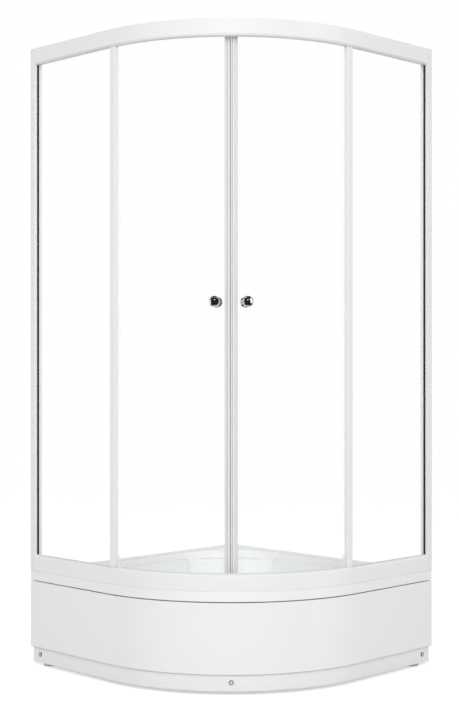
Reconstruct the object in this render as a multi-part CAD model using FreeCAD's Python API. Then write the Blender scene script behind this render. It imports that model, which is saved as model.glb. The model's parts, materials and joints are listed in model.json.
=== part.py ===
"""Quadrant corner shower enclosure: an acrylic tray on a welded frame behind a curved apron, a white
aluminium surround with two fixed panes, and two curved glass doors that roll inside its rails.

Millimetres, +Z up, floor at z = 0, origin under the middle of the square footprint. The room's corner
is at (-side / 2, +side / 2) and the curved front faces +X and -Y. The object is symmetric about the
vertical plane x = -y, so pieces are made on the right-hand side, beside x = +side / 2, and mirrored.
Insets are counted from the front's outer face, runs from the right-hand wall, and angles round the
bend from its right-hand end."""

import FreeCAD, Part
import math
import os

# Overall
side = 900.0
total_height = 1950.0
front_radius = 530.0
clearance = 0.3
overrun = 5.0

# Tray
tray_height = 300.0
tray_wall = 5.0
rim_edge = 30.0
rim_front = 76.0
rim_back = 50.0
rim_round = 6.0
basin_depth = 150.0
basin_lean = 26.0
basin_corner = 70.0
basin_back_corner = 230.0
ledge_reach = 231.0
ledge_drop = 24.0
board_thickness = 12.0
board_margin = 30.0
board_drain_gap = 25.0

# Support frame and feet
tube_width = 25.0
tube_wall = 2.0
tube_from_wall = 50.0
front_foot_from_front = 128.0
upright_width = 20.0
weld_nut_radius = 11.0
weld_nut_height = 12.0
stud_radius = 6.0
stud_clearance = 0.2
lock_nut_flats = 19.0
lock_nut_height = 9.0
pad_radius = 20.0
pad_neck_radius = 12.0
pad_height = 16.0
pad_base_height = 6.0
pad_sole = 6.0
end_foot_from_front = 40.0

# Apron
apron_wall = 4.0
apron_gap = 3.0
apron_foot = 60.0
apron_flange = 20.0
apron_wall_gap = 1.0
kick_recess = 12.0
kick_foot = 10.0
bracket_thickness = 2.0
bracket_width = 40.0
bracket_foot = 22.0
apron_clip_width = 10.0
apron_clip_setback = 8.0
apron_clip_angles = (12.0, 45.0, 78.0)
apron_clip_turn = 3.0
apron_screw_height = 36.0
apron_screw_from_wall = 36.0
apron_screw_radius = 2.0
apron_screw_head_radius = 4.4
apron_screw_head = 2.4
apron_screw_length = 12.0
cup_radius = 7.0
cup_depth = 2.6

# Drain
drain_from_corner = 560.0
drain_hole_radius = 26.0
drain_tube_radius = 24.0
drain_tube_wall = 3.0
drain_tube_length = 34.0
drain_flange_radius = 36.0
drain_flange = 2.0
drain_gasket = 3.0
drain_nut = 10.0
drain_nut_radius = 36.0
drain_cover_radius = 32.0
drain_cover = 4.0
drain_cover_round = 3.0
drain_skirt = 9.0
drain_skirt_wall = 2.0
drain_skirt_gap = 1.0
trap_radius = 45.0
trap_wall = 3.0
trap_foot = 34.0
trap_shoulder = 112.0
trap_neck_height = 14.0
outlet_height = 74.0
outlet_radius = 20.0
outlet_wall = 2.5
outlet_socket_radius = 23.0
outlet_socket_end = 190.0
outlet_length = 60.0

# Glass
glass = 5.0
pane_inset = 18.0
pane_bite = 10.0
pane_past_bend = 16.0
door_inset = 48.0
door_lead_angle = 1.0
door_edge_setback = 13.0
door_rail_gap = 12.0

# Rails
rail_height = 50.0
rail_depth = 58.0
rail_edge_round = 10.0
rail_face = 2.0
rail_web = 1.5
groove_width = 6.0
groove_depth = 12.0
lip_end = 41.0
lip_thickness = 2.0
lip_rib = 3.0

# Wall channels, stiles and gaskets
channel_depth = 36.0
channel_reach = 12.0
channel_wall = 1.5
channel_hole_radius = 2.6
channel_hole_shares = (0.08, 0.36, 0.64, 0.92)
stile_reach = 16.0
stile_wall_gap = 4.0
stile_wall = 1.5
pocket_width = 8.0
pocket_depth = 8.0
stile_screw_shares = (0.12, 0.5, 0.88)
stile_screw_radius = 1.75
stile_screw_head_radius = 4.0
stile_screw_head = 2.2
stile_screw_length = 10.0
gasket_wall = 1.3
gasket_slack = 0.1
gasket_lip = 3.0
gasket_lip_width = 0.9

# Posts and the blocks that join them and the stiles to the rails
post_past_bend = 5.0
post_width = 23.5
post_leg = 4.0
post_wall = 1.6
post_round = 2.0
post_pocket = 12.0
plug_length = 40.0
plug_slack = 0.4
tab_slack = 0.2
tab_height = 11.5
tab_setback = 1.0
block_length = 30.0
block_slack = 0.5
corner_screw_radius = 2.0
corner_screw_head_radius = 3.5
corner_screw_head = 2.5
corner_screw_length = 24.0

# Door seals
magnet_head = 9.5
magnet_taper = 1.0
magnet_half_depth = 6.0
magnet_meeting_gap = 0.4
magnet_wall = 1.4
magnet_slack = 0.3
clip_arm = 1.2
clip_slack = 0.5
clip_reach = 6.0
seal_back = 1.8
seal_reach = 6.0
seal_arm = 1.2
seal_fin = 2.4
seal_fin_from_edge = 1.0
seal_post_gap = 2.0
seal_rail_gap = 3.0

# Knobs
knob_height = 1135.0
knob_from_middle = 45.0
knob_ball_radius = 16.0
knob_neck_radius = 7.0
knob_neck = 12.0
knob_rose_radius = 13.0
knob_rose = 3.0
knob_rose_round = 1.0
knob_bore_depth = 10.0
knob_stud_radius = 2.5
knob_stud_slack = 0.1
knob_hole_radius = 4.0
knob_washer_radius = 11.0
knob_washer = 1.0

# Rollers
roller_angles = (16.0, 40.5)
wheel_radius = 10.0
wheel_width = 6.0
wheel_inset = 31.5
wheel_chamfer = 1.0
wheel_hub_radius = 5.5
wheel_recess = 1.0
axle_radius = 3.0
axle_fit = 0.05
axle_flange_radius = 4.0
axle_flange = 1.3
axle_shoulder_radius = 6.0
axle_hole_slack = 0.4
axle_neck_radius = 3.8
axle_cap_radius = 9.0
axle_cap = 4.0
axle_cap_round = 2.0
stop_past_bend = 107.0
stop_length = 20.0
stop_height = 16.0
stop_width = 12.0

# Directions and places that follow from the sizes
UP = FreeCAD.Vector(0, 0, 1)
ORIGIN = FreeCAD.Vector(0, 0, 0)
DIAGONAL = FreeCAD.Vector(1, 1, 0)
QUARTER = 90.0
BISECTOR = 45.0
half = side / 2
straight_run = side - front_radius
centre = FreeCAD.Vector(half - front_radius, front_radius - half, 0)
basin_floor = tray_height - basin_depth
floor_underside = basin_floor - tray_wall
ledge_top = tray_height - ledge_drop
rim_low = tray_height - rim_edge
tube_top = floor_underside - board_thickness
tube_low = tube_top - tube_width
tube_line = half - tube_from_wall
front_foot_radius = front_radius - front_foot_from_front
lower_edge = tray_height + rail_height
upper_edge = total_height - rail_height
pane_outer = pane_inset - glass / 2
pane_inner = pane_inset + glass / 2
groove_outer = pane_inset - groove_width / 2
groove_inner = pane_inset + groove_width / 2
lip_start = groove_inner + rail_web
post_inset = groove_outer - post_leg
post_depth = groove_width + post_leg * 2
post_start = straight_run + post_past_bend
post_end = post_start + post_width
door_radius = front_radius - door_inset
door_outer = door_inset - glass / 2
door_inner = door_inset + glass / 2
door_low = tray_height + door_rail_gap
door_high = total_height - door_rail_gap
door_trail_angle = BISECTOR - math.degrees(math.asin(door_edge_setback / door_radius))
knob_angle = BISECTOR - math.degrees(math.asin(knob_from_middle / door_radius))
wheel_rise = groove_depth + lip_thickness + clearance + wheel_radius
wheel_heights = {"top": upper_edge + wheel_rise, "bottom": lower_edge - wheel_rise}
hollow_radius = front_radius - door_inner
drain_x = drain_from_corner / math.sqrt(2) - half
drain_spot = FreeCAD.Vector(drain_x, -drain_x, 0)


# Building helpers

def on_side(inset, run, z):
    """A point of the right-hand side: inset from its outer face and run from the wall."""
    return FreeCAD.Vector(half - inset, half - run, z)


def in_plan(x, y, z):
    """A point by its plain coordinates."""
    return FreeCAD.Vector(x, y, z)


def at_bend(angle):
    """Places points about a spot on the doors' middle surface: along it to the right, and outward."""
    turn = math.radians(angle)
    out = FreeCAD.Vector(math.cos(turn), -math.sin(turn), 0)
    along = FreeCAD.Vector(math.sin(turn), math.cos(turn), 0)
    return lambda across, outward, z: centre + out * (door_radius + outward) + along * across + UP * z


def corner_points(before, corner, after):
    """A sharp corner's point, or the start, middle and end of the arc that rounds it."""
    here = FreeCAD.Vector(corner[0], corner[1], 0)
    if not corner[2]:
        return [here]
    back = (FreeCAD.Vector(before[0], before[1], 0) - here).normalize()
    ahead = (FreeCAD.Vector(after[0], after[1], 0) - here).normalize()
    half_angle = back.getAngle(ahead) / 2
    inward = (back + ahead).normalize()
    reach = corner[2] / math.tan(half_angle)
    depth = corner[2] / math.sin(half_angle) - corner[2]
    return [here + back * reach, here + inward * depth, here + ahead * reach]


def rounded_wire(corners, place):
    """Closed wire through corners (a, b, radius): straight runs joined by tangent arcs."""
    count = len(corners)
    knots = []
    for n, corner in enumerate(corners):
        points = corner_points(corners[n - 1], corner, corners[(n + 1) % count])
        knots.append([place(p.x, p.y) for p in points])
    edges = []
    for n, knot in enumerate(knots):
        if len(knot) > 1:
            edges.append(Part.Arc(*knot).toShape())
        edges.append(Part.LineSegment(knot[-1], knots[(n + 1) % count][0]).toShape())
    return Part.Wire(edges)


def box_corners(low_a, high_a, low_b, high_b, radius=0):
    """Corners of a rectangle, all rounded alike."""
    ends = [(low_a, low_b), (high_a, low_b), (high_a, high_b), (low_a, high_b)]
    return [(a, b, radius) for a, b in ends]


def sharp(points):
    """Corners without rounding."""
    return [(a, b, 0) for a, b in points]


def upright(corners, place, low, high):
    """Vertical prism on an outline."""
    face = Part.Face(rounded_wire(corners, lambda a, b: place(a, b, low)))
    return face.extrude(UP * (high - low))


def section(corners):
    """Face of a front section (inset, height) at the right-hand end of the bend."""
    return Part.Face(rounded_wire(corners, lambda inset, z: on_side(inset, straight_run, z)))


def sector(face, start, end):
    """A front section revolved round the bend between two angles."""
    turned_face = face.copy()
    turned_face.rotate(centre, UP, -start)
    return turned_face.revolve(centre, -UP, end - start)


def mirrored(shape):
    """The left-hand copy of a right-hand shape."""
    return shape.mirror(ORIGIN, DIAGONAL)


def both_sides(shapes):
    """Right-hand shapes with their left-hand copies, as one group."""
    return Part.makeCompound(list(shapes) + [mirrored(s) for s in shapes])


def along_front(face, wall_gap):
    """A front section carried along one straight, round the bend and along the other straight."""
    straight = face.extrude(FreeCAD.Vector(0, straight_run - wall_gap, 0))
    bend = sector(face, 0, QUARTER)
    return straight.fuse([bend, mirrored(straight)]).removeSplitter()


def turned(corners):
    """Solid turned about the X axis from corners (inset, radius, rounding); x is the bend's radius."""
    wire = rounded_wire(corners, lambda inset, radius: FreeCAD.Vector(front_radius - inset, 0, radius))
    return Part.Face(wire).revolve(ORIGIN, FreeCAD.Vector(1, 0, 0), 4 * QUARTER)


def round_bar(start, end, radius):
    """Plain turned bar between two insets."""
    return turned(sharp([(start, 0), (end, 0), (end, radius), (start, radius)]))


def radial(shape, angle, z):
    """Stands a turned solid on its radius of the bend, at a height."""
    placed = shape.copy()
    placed.rotate(ORIGIN, UP, -angle)
    placed.translate(centre + UP * z)
    return placed


def hollow_seat(radius):
    """Inset at which a flat disc of this radius meets the doors' hollow face."""
    return front_radius - math.sqrt(hollow_radius ** 2 - radius ** 2)


def pillar(radius, low, high, spot):
    """Vertical cylinder at a spot in plan."""
    return Part.makeCylinder(radius, high - low, FreeCAD.Vector(spot.x, spot.y, low))


def ring(outer, inner, low, high, spot):
    """Vertical tube at a spot in plan."""
    return pillar(outer, low, high, spot).cut(pillar(inner, low - overrun, high + overrun, spot))


# Tray

def quadrant(back, front, corner, back_corner, z):
    """Plan outline inset from the walls and from the front, with the radii of its corners."""
    corners = [
        (half - front, half - back, corner),
        (half - front, front - half, front_radius - front),
        (back - half, front - half, corner),
        (back - half, half - back, back_corner),
    ]
    return rounded_wire(corners, lambda x, y: in_plan(x, y, z))


def basin(offset, low, high):
    """The basin between two levels; its walls lean in towards the floor, and offset moves them out."""
    wires = []
    for z in (low, high):
        lean = basin_lean * (tray_height - z) / basin_depth - offset
        wires.append(
            quadrant(rim_back + lean, rim_front + lean, basin_corner - lean, basin_back_corner - lean, z)
        )
    return Part.makeLoft(wires, True, True)


def corner_block(reach, low, high):
    """Block in the room's corner, ending at a plane square to the diagonal."""
    block = Part.makeBox(reach, side * 2, high - low, FreeCAD.Vector(0, -side, low))
    block.rotate(ORIGIN, UP, -BISECTOR)
    block.translate(FreeCAD.Vector(-half, half, 0))
    return block


def tray_shell():
    """One acrylic skin: rim with a turned-down edge, leaning basin, ledge in the corner, drain hole."""
    rim = Part.Face(quadrant(0, 0, 0, 0, rim_low)).extrude(UP * rim_edge)
    under_low = rim_low - overrun
    under = Part.Face(quadrant(tray_wall, tray_wall, 0, 0, under_low))
    rim = rim.cut(under.extrude(UP * (tray_height - tray_wall - under_low)))
    below_floor = floor_underside - overrun
    outside = basin(tray_wall, floor_underside, tray_height)
    outside = outside.cut(corner_block(ledge_reach - tray_wall, below_floor, ledge_top - tray_wall))
    inside = basin(0, basin_floor, tray_height + overrun)
    inside = inside.cut(corner_block(ledge_reach, basin_floor - overrun, ledge_top))
    shell = rim.fuse(outside).cut(inside).removeSplitter()
    shell = shell.cut(pillar(drain_hole_radius, below_floor, tray_height, drain_spot))
    return shell.makeFillet(rim_round, rim_inner_edges(shell))


def rim_inner_edges(shell):
    """Edges of the basin's mouth: at the rim's height and away from the outside."""
    chosen = []
    for edge in shell.Edges:
        box = edge.BoundBox
        level = abs(box.ZMin - tray_height) < clearance and abs(box.ZMax - tray_height) < clearance
        outside = [box.XMin + half, half - box.XMax, box.YMin + half, half - box.YMax]
        if level and min(outside) > tray_wall:
            chosen.append(edge)
    return chosen


def tray_base_board():
    """Stiffening board bonded under the floor, open round the drain."""
    lean = basin_lean + board_margin
    outline = quadrant(
        rim_back + lean, rim_front + lean, basin_corner - basin_lean, basin_back_corner - lean, tube_top
    )
    board = Part.Face(outline).extrude(UP * board_thickness)
    board = board.cut(corner_block(ledge_reach, tube_top - overrun, tray_height))
    hole = drain_nut_radius + board_drain_gap
    return board.cut(pillar(hole, tube_top - overrun, tray_height, drain_spot))


# Support frame and feet

def tube(length, width, wall):
    """Square tube along +X from the origin, centred on its axis."""
    outer = Part.makeBox(length, width, width, FreeCAD.Vector(0, -width / 2, -width / 2))
    bore = width - wall * 2
    return outer.cut(
        Part.makeBox(length + overrun * 2, bore, bore, FreeCAD.Vector(-overrun, -bore / 2, -bore / 2))
    )


def tube_between(start, end):
    """Frame tube between two spots in plan, at the frame's level."""
    run = end - start
    bar = tube(run.Length, tube_width, tube_wall)
    bar.rotate(ORIGIN, UP, math.degrees(math.atan2(run.y, run.x)))
    bar.translate(FreeCAD.Vector(start.x, start.y, tube_low + tube_width / 2))
    return bar


def frame_spots():
    """Feet in plan: right-hand end, left-hand end, room's corner, front, and middle of the cross tube."""
    end = half - end_foot_from_front
    return [
        FreeCAD.Vector(end, tube_line, 0),
        FreeCAD.Vector(-tube_line, -end, 0),
        FreeCAD.Vector(-tube_line, tube_line, 0),
        at_bend(BISECTOR)(0, front_foot_radius - door_radius, 0),
        FreeCAD.Vector(-tube_line / 2, tube_line / 2, 0),
    ]


def frame_reach():
    """Distance from the middle to the end of a wall tube, where the apron's bracket stands."""
    return half - kick_recess - apron_wall - bracket_thickness


def support_frame():
    """Welded tubes with uprights under the rim, and a nut under the frame at each foot."""
    spots = frame_spots()
    right_end, front = spots[0], spots[3]
    inner_edge = tube_line - tube_width / 2
    outer_edge = tube_line + tube_width / 2
    right_tube = tube_between(
        FreeCAD.Vector(-outer_edge, tube_line, 0), FreeCAD.Vector(frame_reach(), tube_line, 0)
    )
    left_tube = tube_between(
        FreeCAD.Vector(-tube_line, inner_edge, 0), FreeCAD.Vector(-tube_line, -frame_reach(), 0)
    )
    beyond = Part.makeBox(side * 2, side, side, FreeCAD.Vector(-side, inner_edge, 0))
    past_diagonal = Part.makeBox(side, side * 2, side, FreeCAD.Vector(-side, -side, 0))
    past_diagonal.rotate(ORIGIN, UP, BISECTOR)
    past_front = front + (front - right_end) / 2
    chord = tube_between(past_front, right_end).cut([beyond, past_diagonal])
    cross_middle = spots[4]
    cross = tube_between(cross_middle, cross_middle + DIAGONAL * half).cut(beyond)
    uprights = []
    for spot in spots[:3]:
        low_corner = FreeCAD.Vector(spot.x - upright_width / 2, spot.y - upright_width / 2, tube_top)
        bore_corner = low_corner + FreeCAD.Vector(tube_wall, tube_wall, -overrun)
        height = tray_height - tray_wall - tube_top
        bore = upright_width - tube_wall * 2
        post = Part.makeBox(upright_width, upright_width, height, low_corner)
        uprights.append(post.cut(Part.makeBox(bore, bore, height + overrun * 2, bore_corner)))
    nuts = [
        ring(weld_nut_radius, stud_radius + stud_clearance, tube_low - weld_nut_height, tube_low, spot)
        for spot in spots
    ]
    tubes = [right_tube, left_tube, chord, mirrored(chord), cross, mirrored(cross)]
    return Part.makeCompound(tubes + uprights + nuts)


def foot_studs():
    """Threaded studs from the pads' sockets up to the frame."""
    return Part.makeCompound([pillar(stud_radius, pad_sole, tube_low, spot) for spot in frame_spots()])


def foot_lock_nuts():
    """Hexagon nuts tight under the weld nuts."""
    top = tube_low - weld_nut_height
    nuts = []
    for spot in frame_spots():
        reach = lock_nut_flats / math.sqrt(3)
        turns = [math.radians(BISECTOR + n * QUARTER * 2 / 3) for n in range(6)]
        points = [(spot.x + reach * math.cos(t), spot.y + reach * math.sin(t)) for t in turns]
        nut = upright(sharp(points), in_plan, top - lock_nut_height, top)
        nuts.append(nut.cut(pillar(stud_radius + stud_clearance, 0, tray_height, spot)))
    return Part.makeCompound(nuts)


def foot_pads():
    """Round plastic feet, each with a sole, a sloping shoulder and a blind socket for its stud."""
    pads = []
    for spot in frame_spots():
        base = pillar(pad_radius, 0, pad_base_height, spot)
        shoulder = Part.makeCone(
            pad_radius, pad_neck_radius, pad_height - pad_base_height,
            FreeCAD.Vector(spot.x, spot.y, pad_base_height),
        )
        socket = pillar(stud_radius + stud_clearance, pad_sole, pad_height + overrun, spot)
        pads.append(base.fuse(shoulder).removeSplitter().cut(socket))
    return Part.makeCompound(pads)


# Apron

def apron_panel():
    """Curved skirt under the rim: flange, tall wall, step, and a kick strip set back below it."""
    top = rim_low - apron_gap
    kick_inner = kick_recess + apron_wall
    corners = sharp([
        (0, top), (apron_flange, top), (apron_flange, top - apron_wall), (apron_wall, top - apron_wall),
        (apron_wall, apron_foot + apron_wall), (kick_inner, apron_foot + apron_wall), (kick_inner, kick_foot),
        (kick_recess, kick_foot), (kick_recess, apron_foot), (0, apron_foot),
    ])
    panel = along_front(section(corners), apron_wall_gap)
    hole = apron_screw_radius + clearance
    return panel.cut(apron_fixings(round_bar(0, rim_front, hole)))


def apron_fixings(piece):
    """Copies of a turned piece at the apron's three screws: one at each end and one in the middle."""
    at_end = piece.copy()
    at_end.translate(FreeCAD.Vector(half - front_radius, half - apron_screw_from_wall, apron_screw_height))
    return [at_end, mirrored(at_end), radial(piece, BISECTOR, apron_screw_height)]


def apron_brackets():
    """Steel plates between the frame and the kick strip, the middle one on an arm."""
    near = kick_recess + apron_wall
    far = near + bracket_thickness
    plate = upright(
        box_corners(near, far, tube_from_wall - bracket_width / 2, tube_from_wall + bracket_width / 2),
        on_side, bracket_foot, tube_top,
    )
    turn = math.degrees(bracket_width / 2 / (front_radius - near))
    front_plate = sector(
        section(box_corners(near, far, bracket_foot, tube_top)), BISECTOR - turn, BISECTOR + turn
    )
    arm = Part.makeBox(
        front_radius - far - front_foot_radius, tube_width, tube_width,
        FreeCAD.Vector(front_foot_radius, -tube_width / 2, 0),
    )
    arm = radial(arm, BISECTOR, tube_low).cut(support_frame().Solids)
    front_plate = front_plate.fuse(largest(arm)).removeSplitter()
    holes = apron_fixings(round_bar(0, rim_front, apron_screw_radius + clearance))
    return Part.makeCompound([s.cut(holes) for s in (plate, mirrored(plate), front_plate)])


def largest(shape):
    """The largest solid of a cut."""
    return max(shape.Solids, key=lambda s: s.Volume)


def apron_clips():
    """Blocks that hang the apron's flange under the rim."""
    low = rim_low - apron_gap
    inner = apron_clip_setback + apron_clip_width
    face = section(box_corners(apron_clip_setback, inner, low, tray_height - tray_wall))
    reach = apron_clip_turn / 2
    return Part.makeCompound([sector(face, angle - reach, angle + reach) for angle in apron_clip_angles])


def apron_screws():
    """Pan-head screws through the kick strip and its brackets."""
    head_face = kick_recess - apron_screw_head
    tip = kick_recess + apron_screw_length
    screw = turned([
        (head_face, 0, 0), (tip, 0, 0), (tip, apron_screw_radius, 0), (kick_recess, apron_screw_radius, 0),
        (kick_recess, apron_screw_head_radius, 0), (head_face, apron_screw_head_radius, apron_screw_head / 2),
    ])
    return Part.makeCompound(apron_fixings(screw))


def apron_screw_cups():
    """Raised washers round the screw heads."""
    cup = turned([
        (kick_recess - cup_depth, apron_screw_head_radius + clearance, 0),
        (kick_recess, apron_screw_head_radius + clearance, 0),
        (kick_recess, cup_radius, 0),
        (kick_recess - cup_depth, cup_radius, cup_depth / 2),
    ])
    return Part.makeCompound(apron_fixings(cup))


# Drain

def drain_flange_body():
    """Flange on the tray's floor with a threaded tube through its hole."""
    top = basin_floor + drain_flange
    flange = pillar(drain_flange_radius, basin_floor, top, drain_spot)
    pipe = pillar(drain_tube_radius, top - drain_tube_length, top, drain_spot)
    bore = drain_tube_radius - drain_tube_wall
    return flange.fuse(pipe).removeSplitter().cut(pillar(bore, 0, tray_height, drain_spot))


def drain_gasket_ring():
    """Rubber ring under the floor."""
    low = floor_underside - drain_gasket
    return ring(drain_nut_radius, drain_tube_radius + clearance, low, floor_underside, drain_spot)


def drain_nut_ring():
    """Nut that draws the flange down on the gasket."""
    top = floor_underside - drain_gasket
    return ring(drain_nut_radius, drain_tube_radius + clearance, top - drain_nut, top, drain_spot)


def drain_cover_disc():
    """Domed cover that sits on the flange, located by a skirt in its bore; it lifts off."""
    low = basin_floor + drain_flange
    bore = drain_tube_radius - drain_tube_wall
    disc = pillar(drain_cover_radius, low, low + drain_cover, drain_spot)
    rim = [e for e in disc.Edges if e.BoundBox.ZMin > low + drain_cover / 2]
    disc = disc.makeFillet(drain_cover_round, rim)
    skirt_outer = bore - drain_skirt_gap
    skirt = ring(skirt_outer, skirt_outer - drain_skirt_wall, low - drain_skirt, low, drain_spot)
    return disc.fuse(skirt).removeSplitter()


def drain_trap():
    """Bottle trap under the drain with a pipe spigot towards the left-hand wall."""
    neck_outer = drain_tube_radius + clearance + trap_wall
    body = pillar(trap_radius, trap_foot, trap_shoulder, drain_spot)
    neck = pillar(neck_outer, trap_shoulder, trap_shoulder + trap_neck_height, drain_spot)
    axis = FreeCAD.Vector(-1, 0, 0)
    level = drain_spot + UP * outlet_height
    socket = Part.makeCylinder(outlet_socket_radius, outlet_socket_end, level, axis)
    spigot_end = outlet_socket_end + outlet_length
    spigot = Part.makeCylinder(outlet_radius, spigot_end, level, axis)
    outside = body.fuse([neck, socket, spigot]).removeSplitter()
    chamber = pillar(trap_radius - trap_wall, trap_foot + trap_wall, trap_shoulder - trap_wall, drain_spot)
    throat = pillar(drain_tube_radius + clearance, trap_foot + trap_wall, tray_height, drain_spot)
    pipe = Part.makeCylinder(outlet_radius - outlet_wall, spigot_end + overrun, level, axis)
    return outside.cut(chamber.fuse([throat, pipe]))


# Rails

def rail(edge, direction):
    """Hollow rail: face with a rounded edge, groove for the panes, lip for the rollers, cover web.

    Heights are counted from the edge that faces the opening, upwards or downwards."""
    groove_back = groove_depth + rail_web
    lip_top = groove_depth + lip_thickness
    cover = rail_height - rail_face
    cavity_round = rail_edge_round - rail_face
    outer = [
        (0, 0, rail_edge_round), (groove_outer, 0, 0), (groove_outer, groove_depth, 0),
        (groove_inner, groove_depth, 0), (groove_inner, 0, 0), (lip_start, 0, 0),
        (lip_start, groove_depth, 0), (lip_end, groove_depth, 0), (lip_end, lip_top + lip_rib, 0),
        (lip_end - rail_web, lip_top + lip_rib, 0), (lip_end - rail_web, lip_top, 0), (lip_start, lip_top, 0),
        (lip_start, cover, 0), (rail_depth, cover, 0), (rail_depth, rail_height, 0), (0, rail_height, 0),
    ]
    cavity = [
        (rail_face, rail_face, cavity_round), (groove_outer - rail_web, rail_face, 0),
        (groove_outer - rail_web, groove_back, 0), (groove_inner, groove_back, 0), (groove_inner, cover, 0),
        (rail_face, cover, 0),
    ]
    faces = [section([(i, edge + direction * h, r) for i, h, r in corners]) for corners in (outer, cavity)]
    return along_front(faces[0].cut(faces[1]).Faces[0], stile_reach)


def door_stops():
    """Rubber stops on the upper rail's lip that catch the rollers of an open door."""
    low = upper_edge + groove_depth + lip_thickness
    end = straight_run - stop_past_bend
    block = upright(
        box_corners(wheel_inset - stop_width / 2, wheel_inset + stop_width / 2, end - stop_length, end),
        on_side, low, low + stop_height,
    )
    return both_sides([block])


# Wall channels, stiles and gaskets

def wall_channel():
    """Channel screwed to the wall, open towards the pane, with four screw holes."""
    near = channel_depth - channel_wall
    corners = sharp([
        (0, 0), (channel_depth, 0), (channel_depth, channel_reach), (near, channel_reach),
        (near, channel_wall), (channel_wall, channel_wall), (channel_wall, channel_reach), (0, channel_reach),
    ])
    channel = upright(corners, on_side, tray_height, total_height)
    holes = []
    for share in channel_hole_shares:
        z = tray_height + share * (total_height - tray_height)
        start = on_side(channel_depth / 2, channel_wall + overrun, z)
        holes.append(
            Part.makeCylinder(channel_hole_radius, overrun * 2 + channel_wall, start, FreeCAD.Vector(0, 1, 0))
        )
    return channel.cut(holes)


def stile_edges():
    """Outer and inner insets of the stile, nested in its channel."""
    return channel_wall + clearance, channel_depth - channel_wall - clearance


def stile_screw_bars(radius, start, end):
    """Bars across the channel's inner leg and the stile, at the side screws' places."""
    run = (stile_wall_gap + channel_reach) / 2
    bars = []
    for share in stile_screw_shares:
        z = tray_height + share * (total_height - tray_height)
        bars.append(
            Part.makeCylinder(radius, end - start, on_side(start, run, z), FreeCAD.Vector(-1, 0, 0))
        )
    return bars


def corner_screw_places():
    """Heights of the two screws that hold each stile to the rails."""
    rise = (groove_depth + rail_height) / 2
    return upper_edge + rise, lower_edge - rise


def corner_screw_bars(radius, start, end):
    """Bars along the rails' cavity, at the corner screws' places, between two runs."""
    inset = (rail_face + groove_outer - rail_web) / 2
    return [
        Part.makeCylinder(radius, end - start, on_side(inset, start, z), FreeCAD.Vector(0, -1, 0))
        for z in corner_screw_places()
    ]


def stile():
    """Upright nested in the wall channel: pocket for the pane between two cavities open to the wall."""
    outer, inner = stile_edges()
    front = stile_reach - stile_wall
    pocket_low = pane_inset - pocket_width / 2
    pocket_high = pane_inset + pocket_width / 2
    pocket_back = stile_reach - pocket_depth
    open_end = stile_wall_gap - overrun
    outline = box_corners(outer, inner, stile_wall_gap, stile_reach)
    blank = upright(outline, on_side, tray_height, total_height)
    cavities = [
        box_corners(outer + stile_wall, pocket_low - stile_wall, open_end, front),
        box_corners(pocket_high + stile_wall, inner - stile_wall, open_end, front),
        box_corners(pocket_low, pocket_high, open_end, pocket_back - stile_wall),
        box_corners(pocket_low, pocket_high, pocket_back, stile_reach + overrun),
    ]
    low = tray_height - overrun
    high = total_height + overrun
    tools = [upright(corners, on_side, low, high) for corners in cavities]
    tools += stile_screw_bars(stile_screw_radius + clearance, inner - stile_wall - overrun / 2, channel_depth)
    tools += corner_screw_bars(corner_screw_radius + clearance, front - overrun / 2, stile_reach + overrun)
    return blank.cut(tools)


def stile_screws():
    """Side screws through each channel's inner leg into its stile."""
    pieces = []
    tip = channel_depth - stile_screw_length
    heads = stile_screw_bars(stile_screw_head_radius, channel_depth, channel_depth + stile_screw_head)
    for shank, head in zip(stile_screw_bars(stile_screw_radius, tip, channel_depth), heads):
        pieces.append(shank.fuse(head).removeSplitter())
    return both_sides(pieces)


def wall_channel_drilled():
    """The wall channel with its side screws' holes."""
    start = channel_depth - channel_wall - overrun / 2
    hole = stile_screw_radius + clearance
    return wall_channel().cut(stile_screw_bars(hole, start, channel_depth + overrun))


def glass_gasket():
    """Rubber channel round the pane's edge, with a lip that shows on each face beside the stile."""
    back = stile_reach - pocket_depth + gasket_slack
    lip = stile_reach + gasket_slack
    reach = pocket_width / 2 - gasket_slack
    bore = reach - gasket_wall
    wide = bore + gasket_lip_width
    half_outline = [
        (reach, back), (reach, lip), (wide, lip), (wide, lip + gasket_lip), (bore, lip + gasket_lip),
        (bore, back + gasket_wall),
    ]
    points = [(pane_inset + a, b) for a, b in half_outline]
    points += [(pane_inset - a, b) for a, b in reversed(half_outline)]
    return upright(sharp(points), on_side, lower_edge, upper_edge)


def fixed_pane():
    """Flat fixed pane from the stile's pocket to the post's, standing in the lower rail's groove."""
    start = stile_reach - pocket_depth + gasket_slack + gasket_wall + clearance
    corners = box_corners(pane_outer, pane_inner, start, straight_run + pane_past_bend)
    return upright(corners, on_side, lower_edge - groove_depth, upper_edge + pane_bite)


def rail_corner_blocks():
    """Blocks in the rails' ends that take the corner screws."""
    low_inset = rail_face + block_slack
    high_inset = groove_outer - rail_web - block_slack
    blocks = []
    for edge, direction in ((upper_edge, 1), (lower_edge, -1)):
        levels = sorted((edge + direction * (groove_depth + block_slack),
                         edge + direction * (rail_height - rail_face - block_slack)))
        outline = box_corners(low_inset, high_inset, stile_reach, stile_reach + block_length)
        blocks.append(upright(outline, on_side, *levels))
    far = stile_reach + block_length
    holes = corner_screw_bars(corner_screw_radius + clearance, stile_reach - overrun, far + overrun)
    return both_sides([block.cut(holes) for block in blocks])


def rail_corner_screws():
    """Screws from inside each stile into the rails' corner blocks."""
    seat = stile_reach - stile_wall
    pieces = []
    shanks = corner_screw_bars(corner_screw_radius, seat, seat + corner_screw_length)
    heads = corner_screw_bars(corner_screw_head_radius, seat - corner_screw_head, seat)
    for shank, head in zip(shanks, heads):
        pieces.append(shank.fuse(head).removeSplitter())
    return both_sides(pieces)


# Posts

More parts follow.
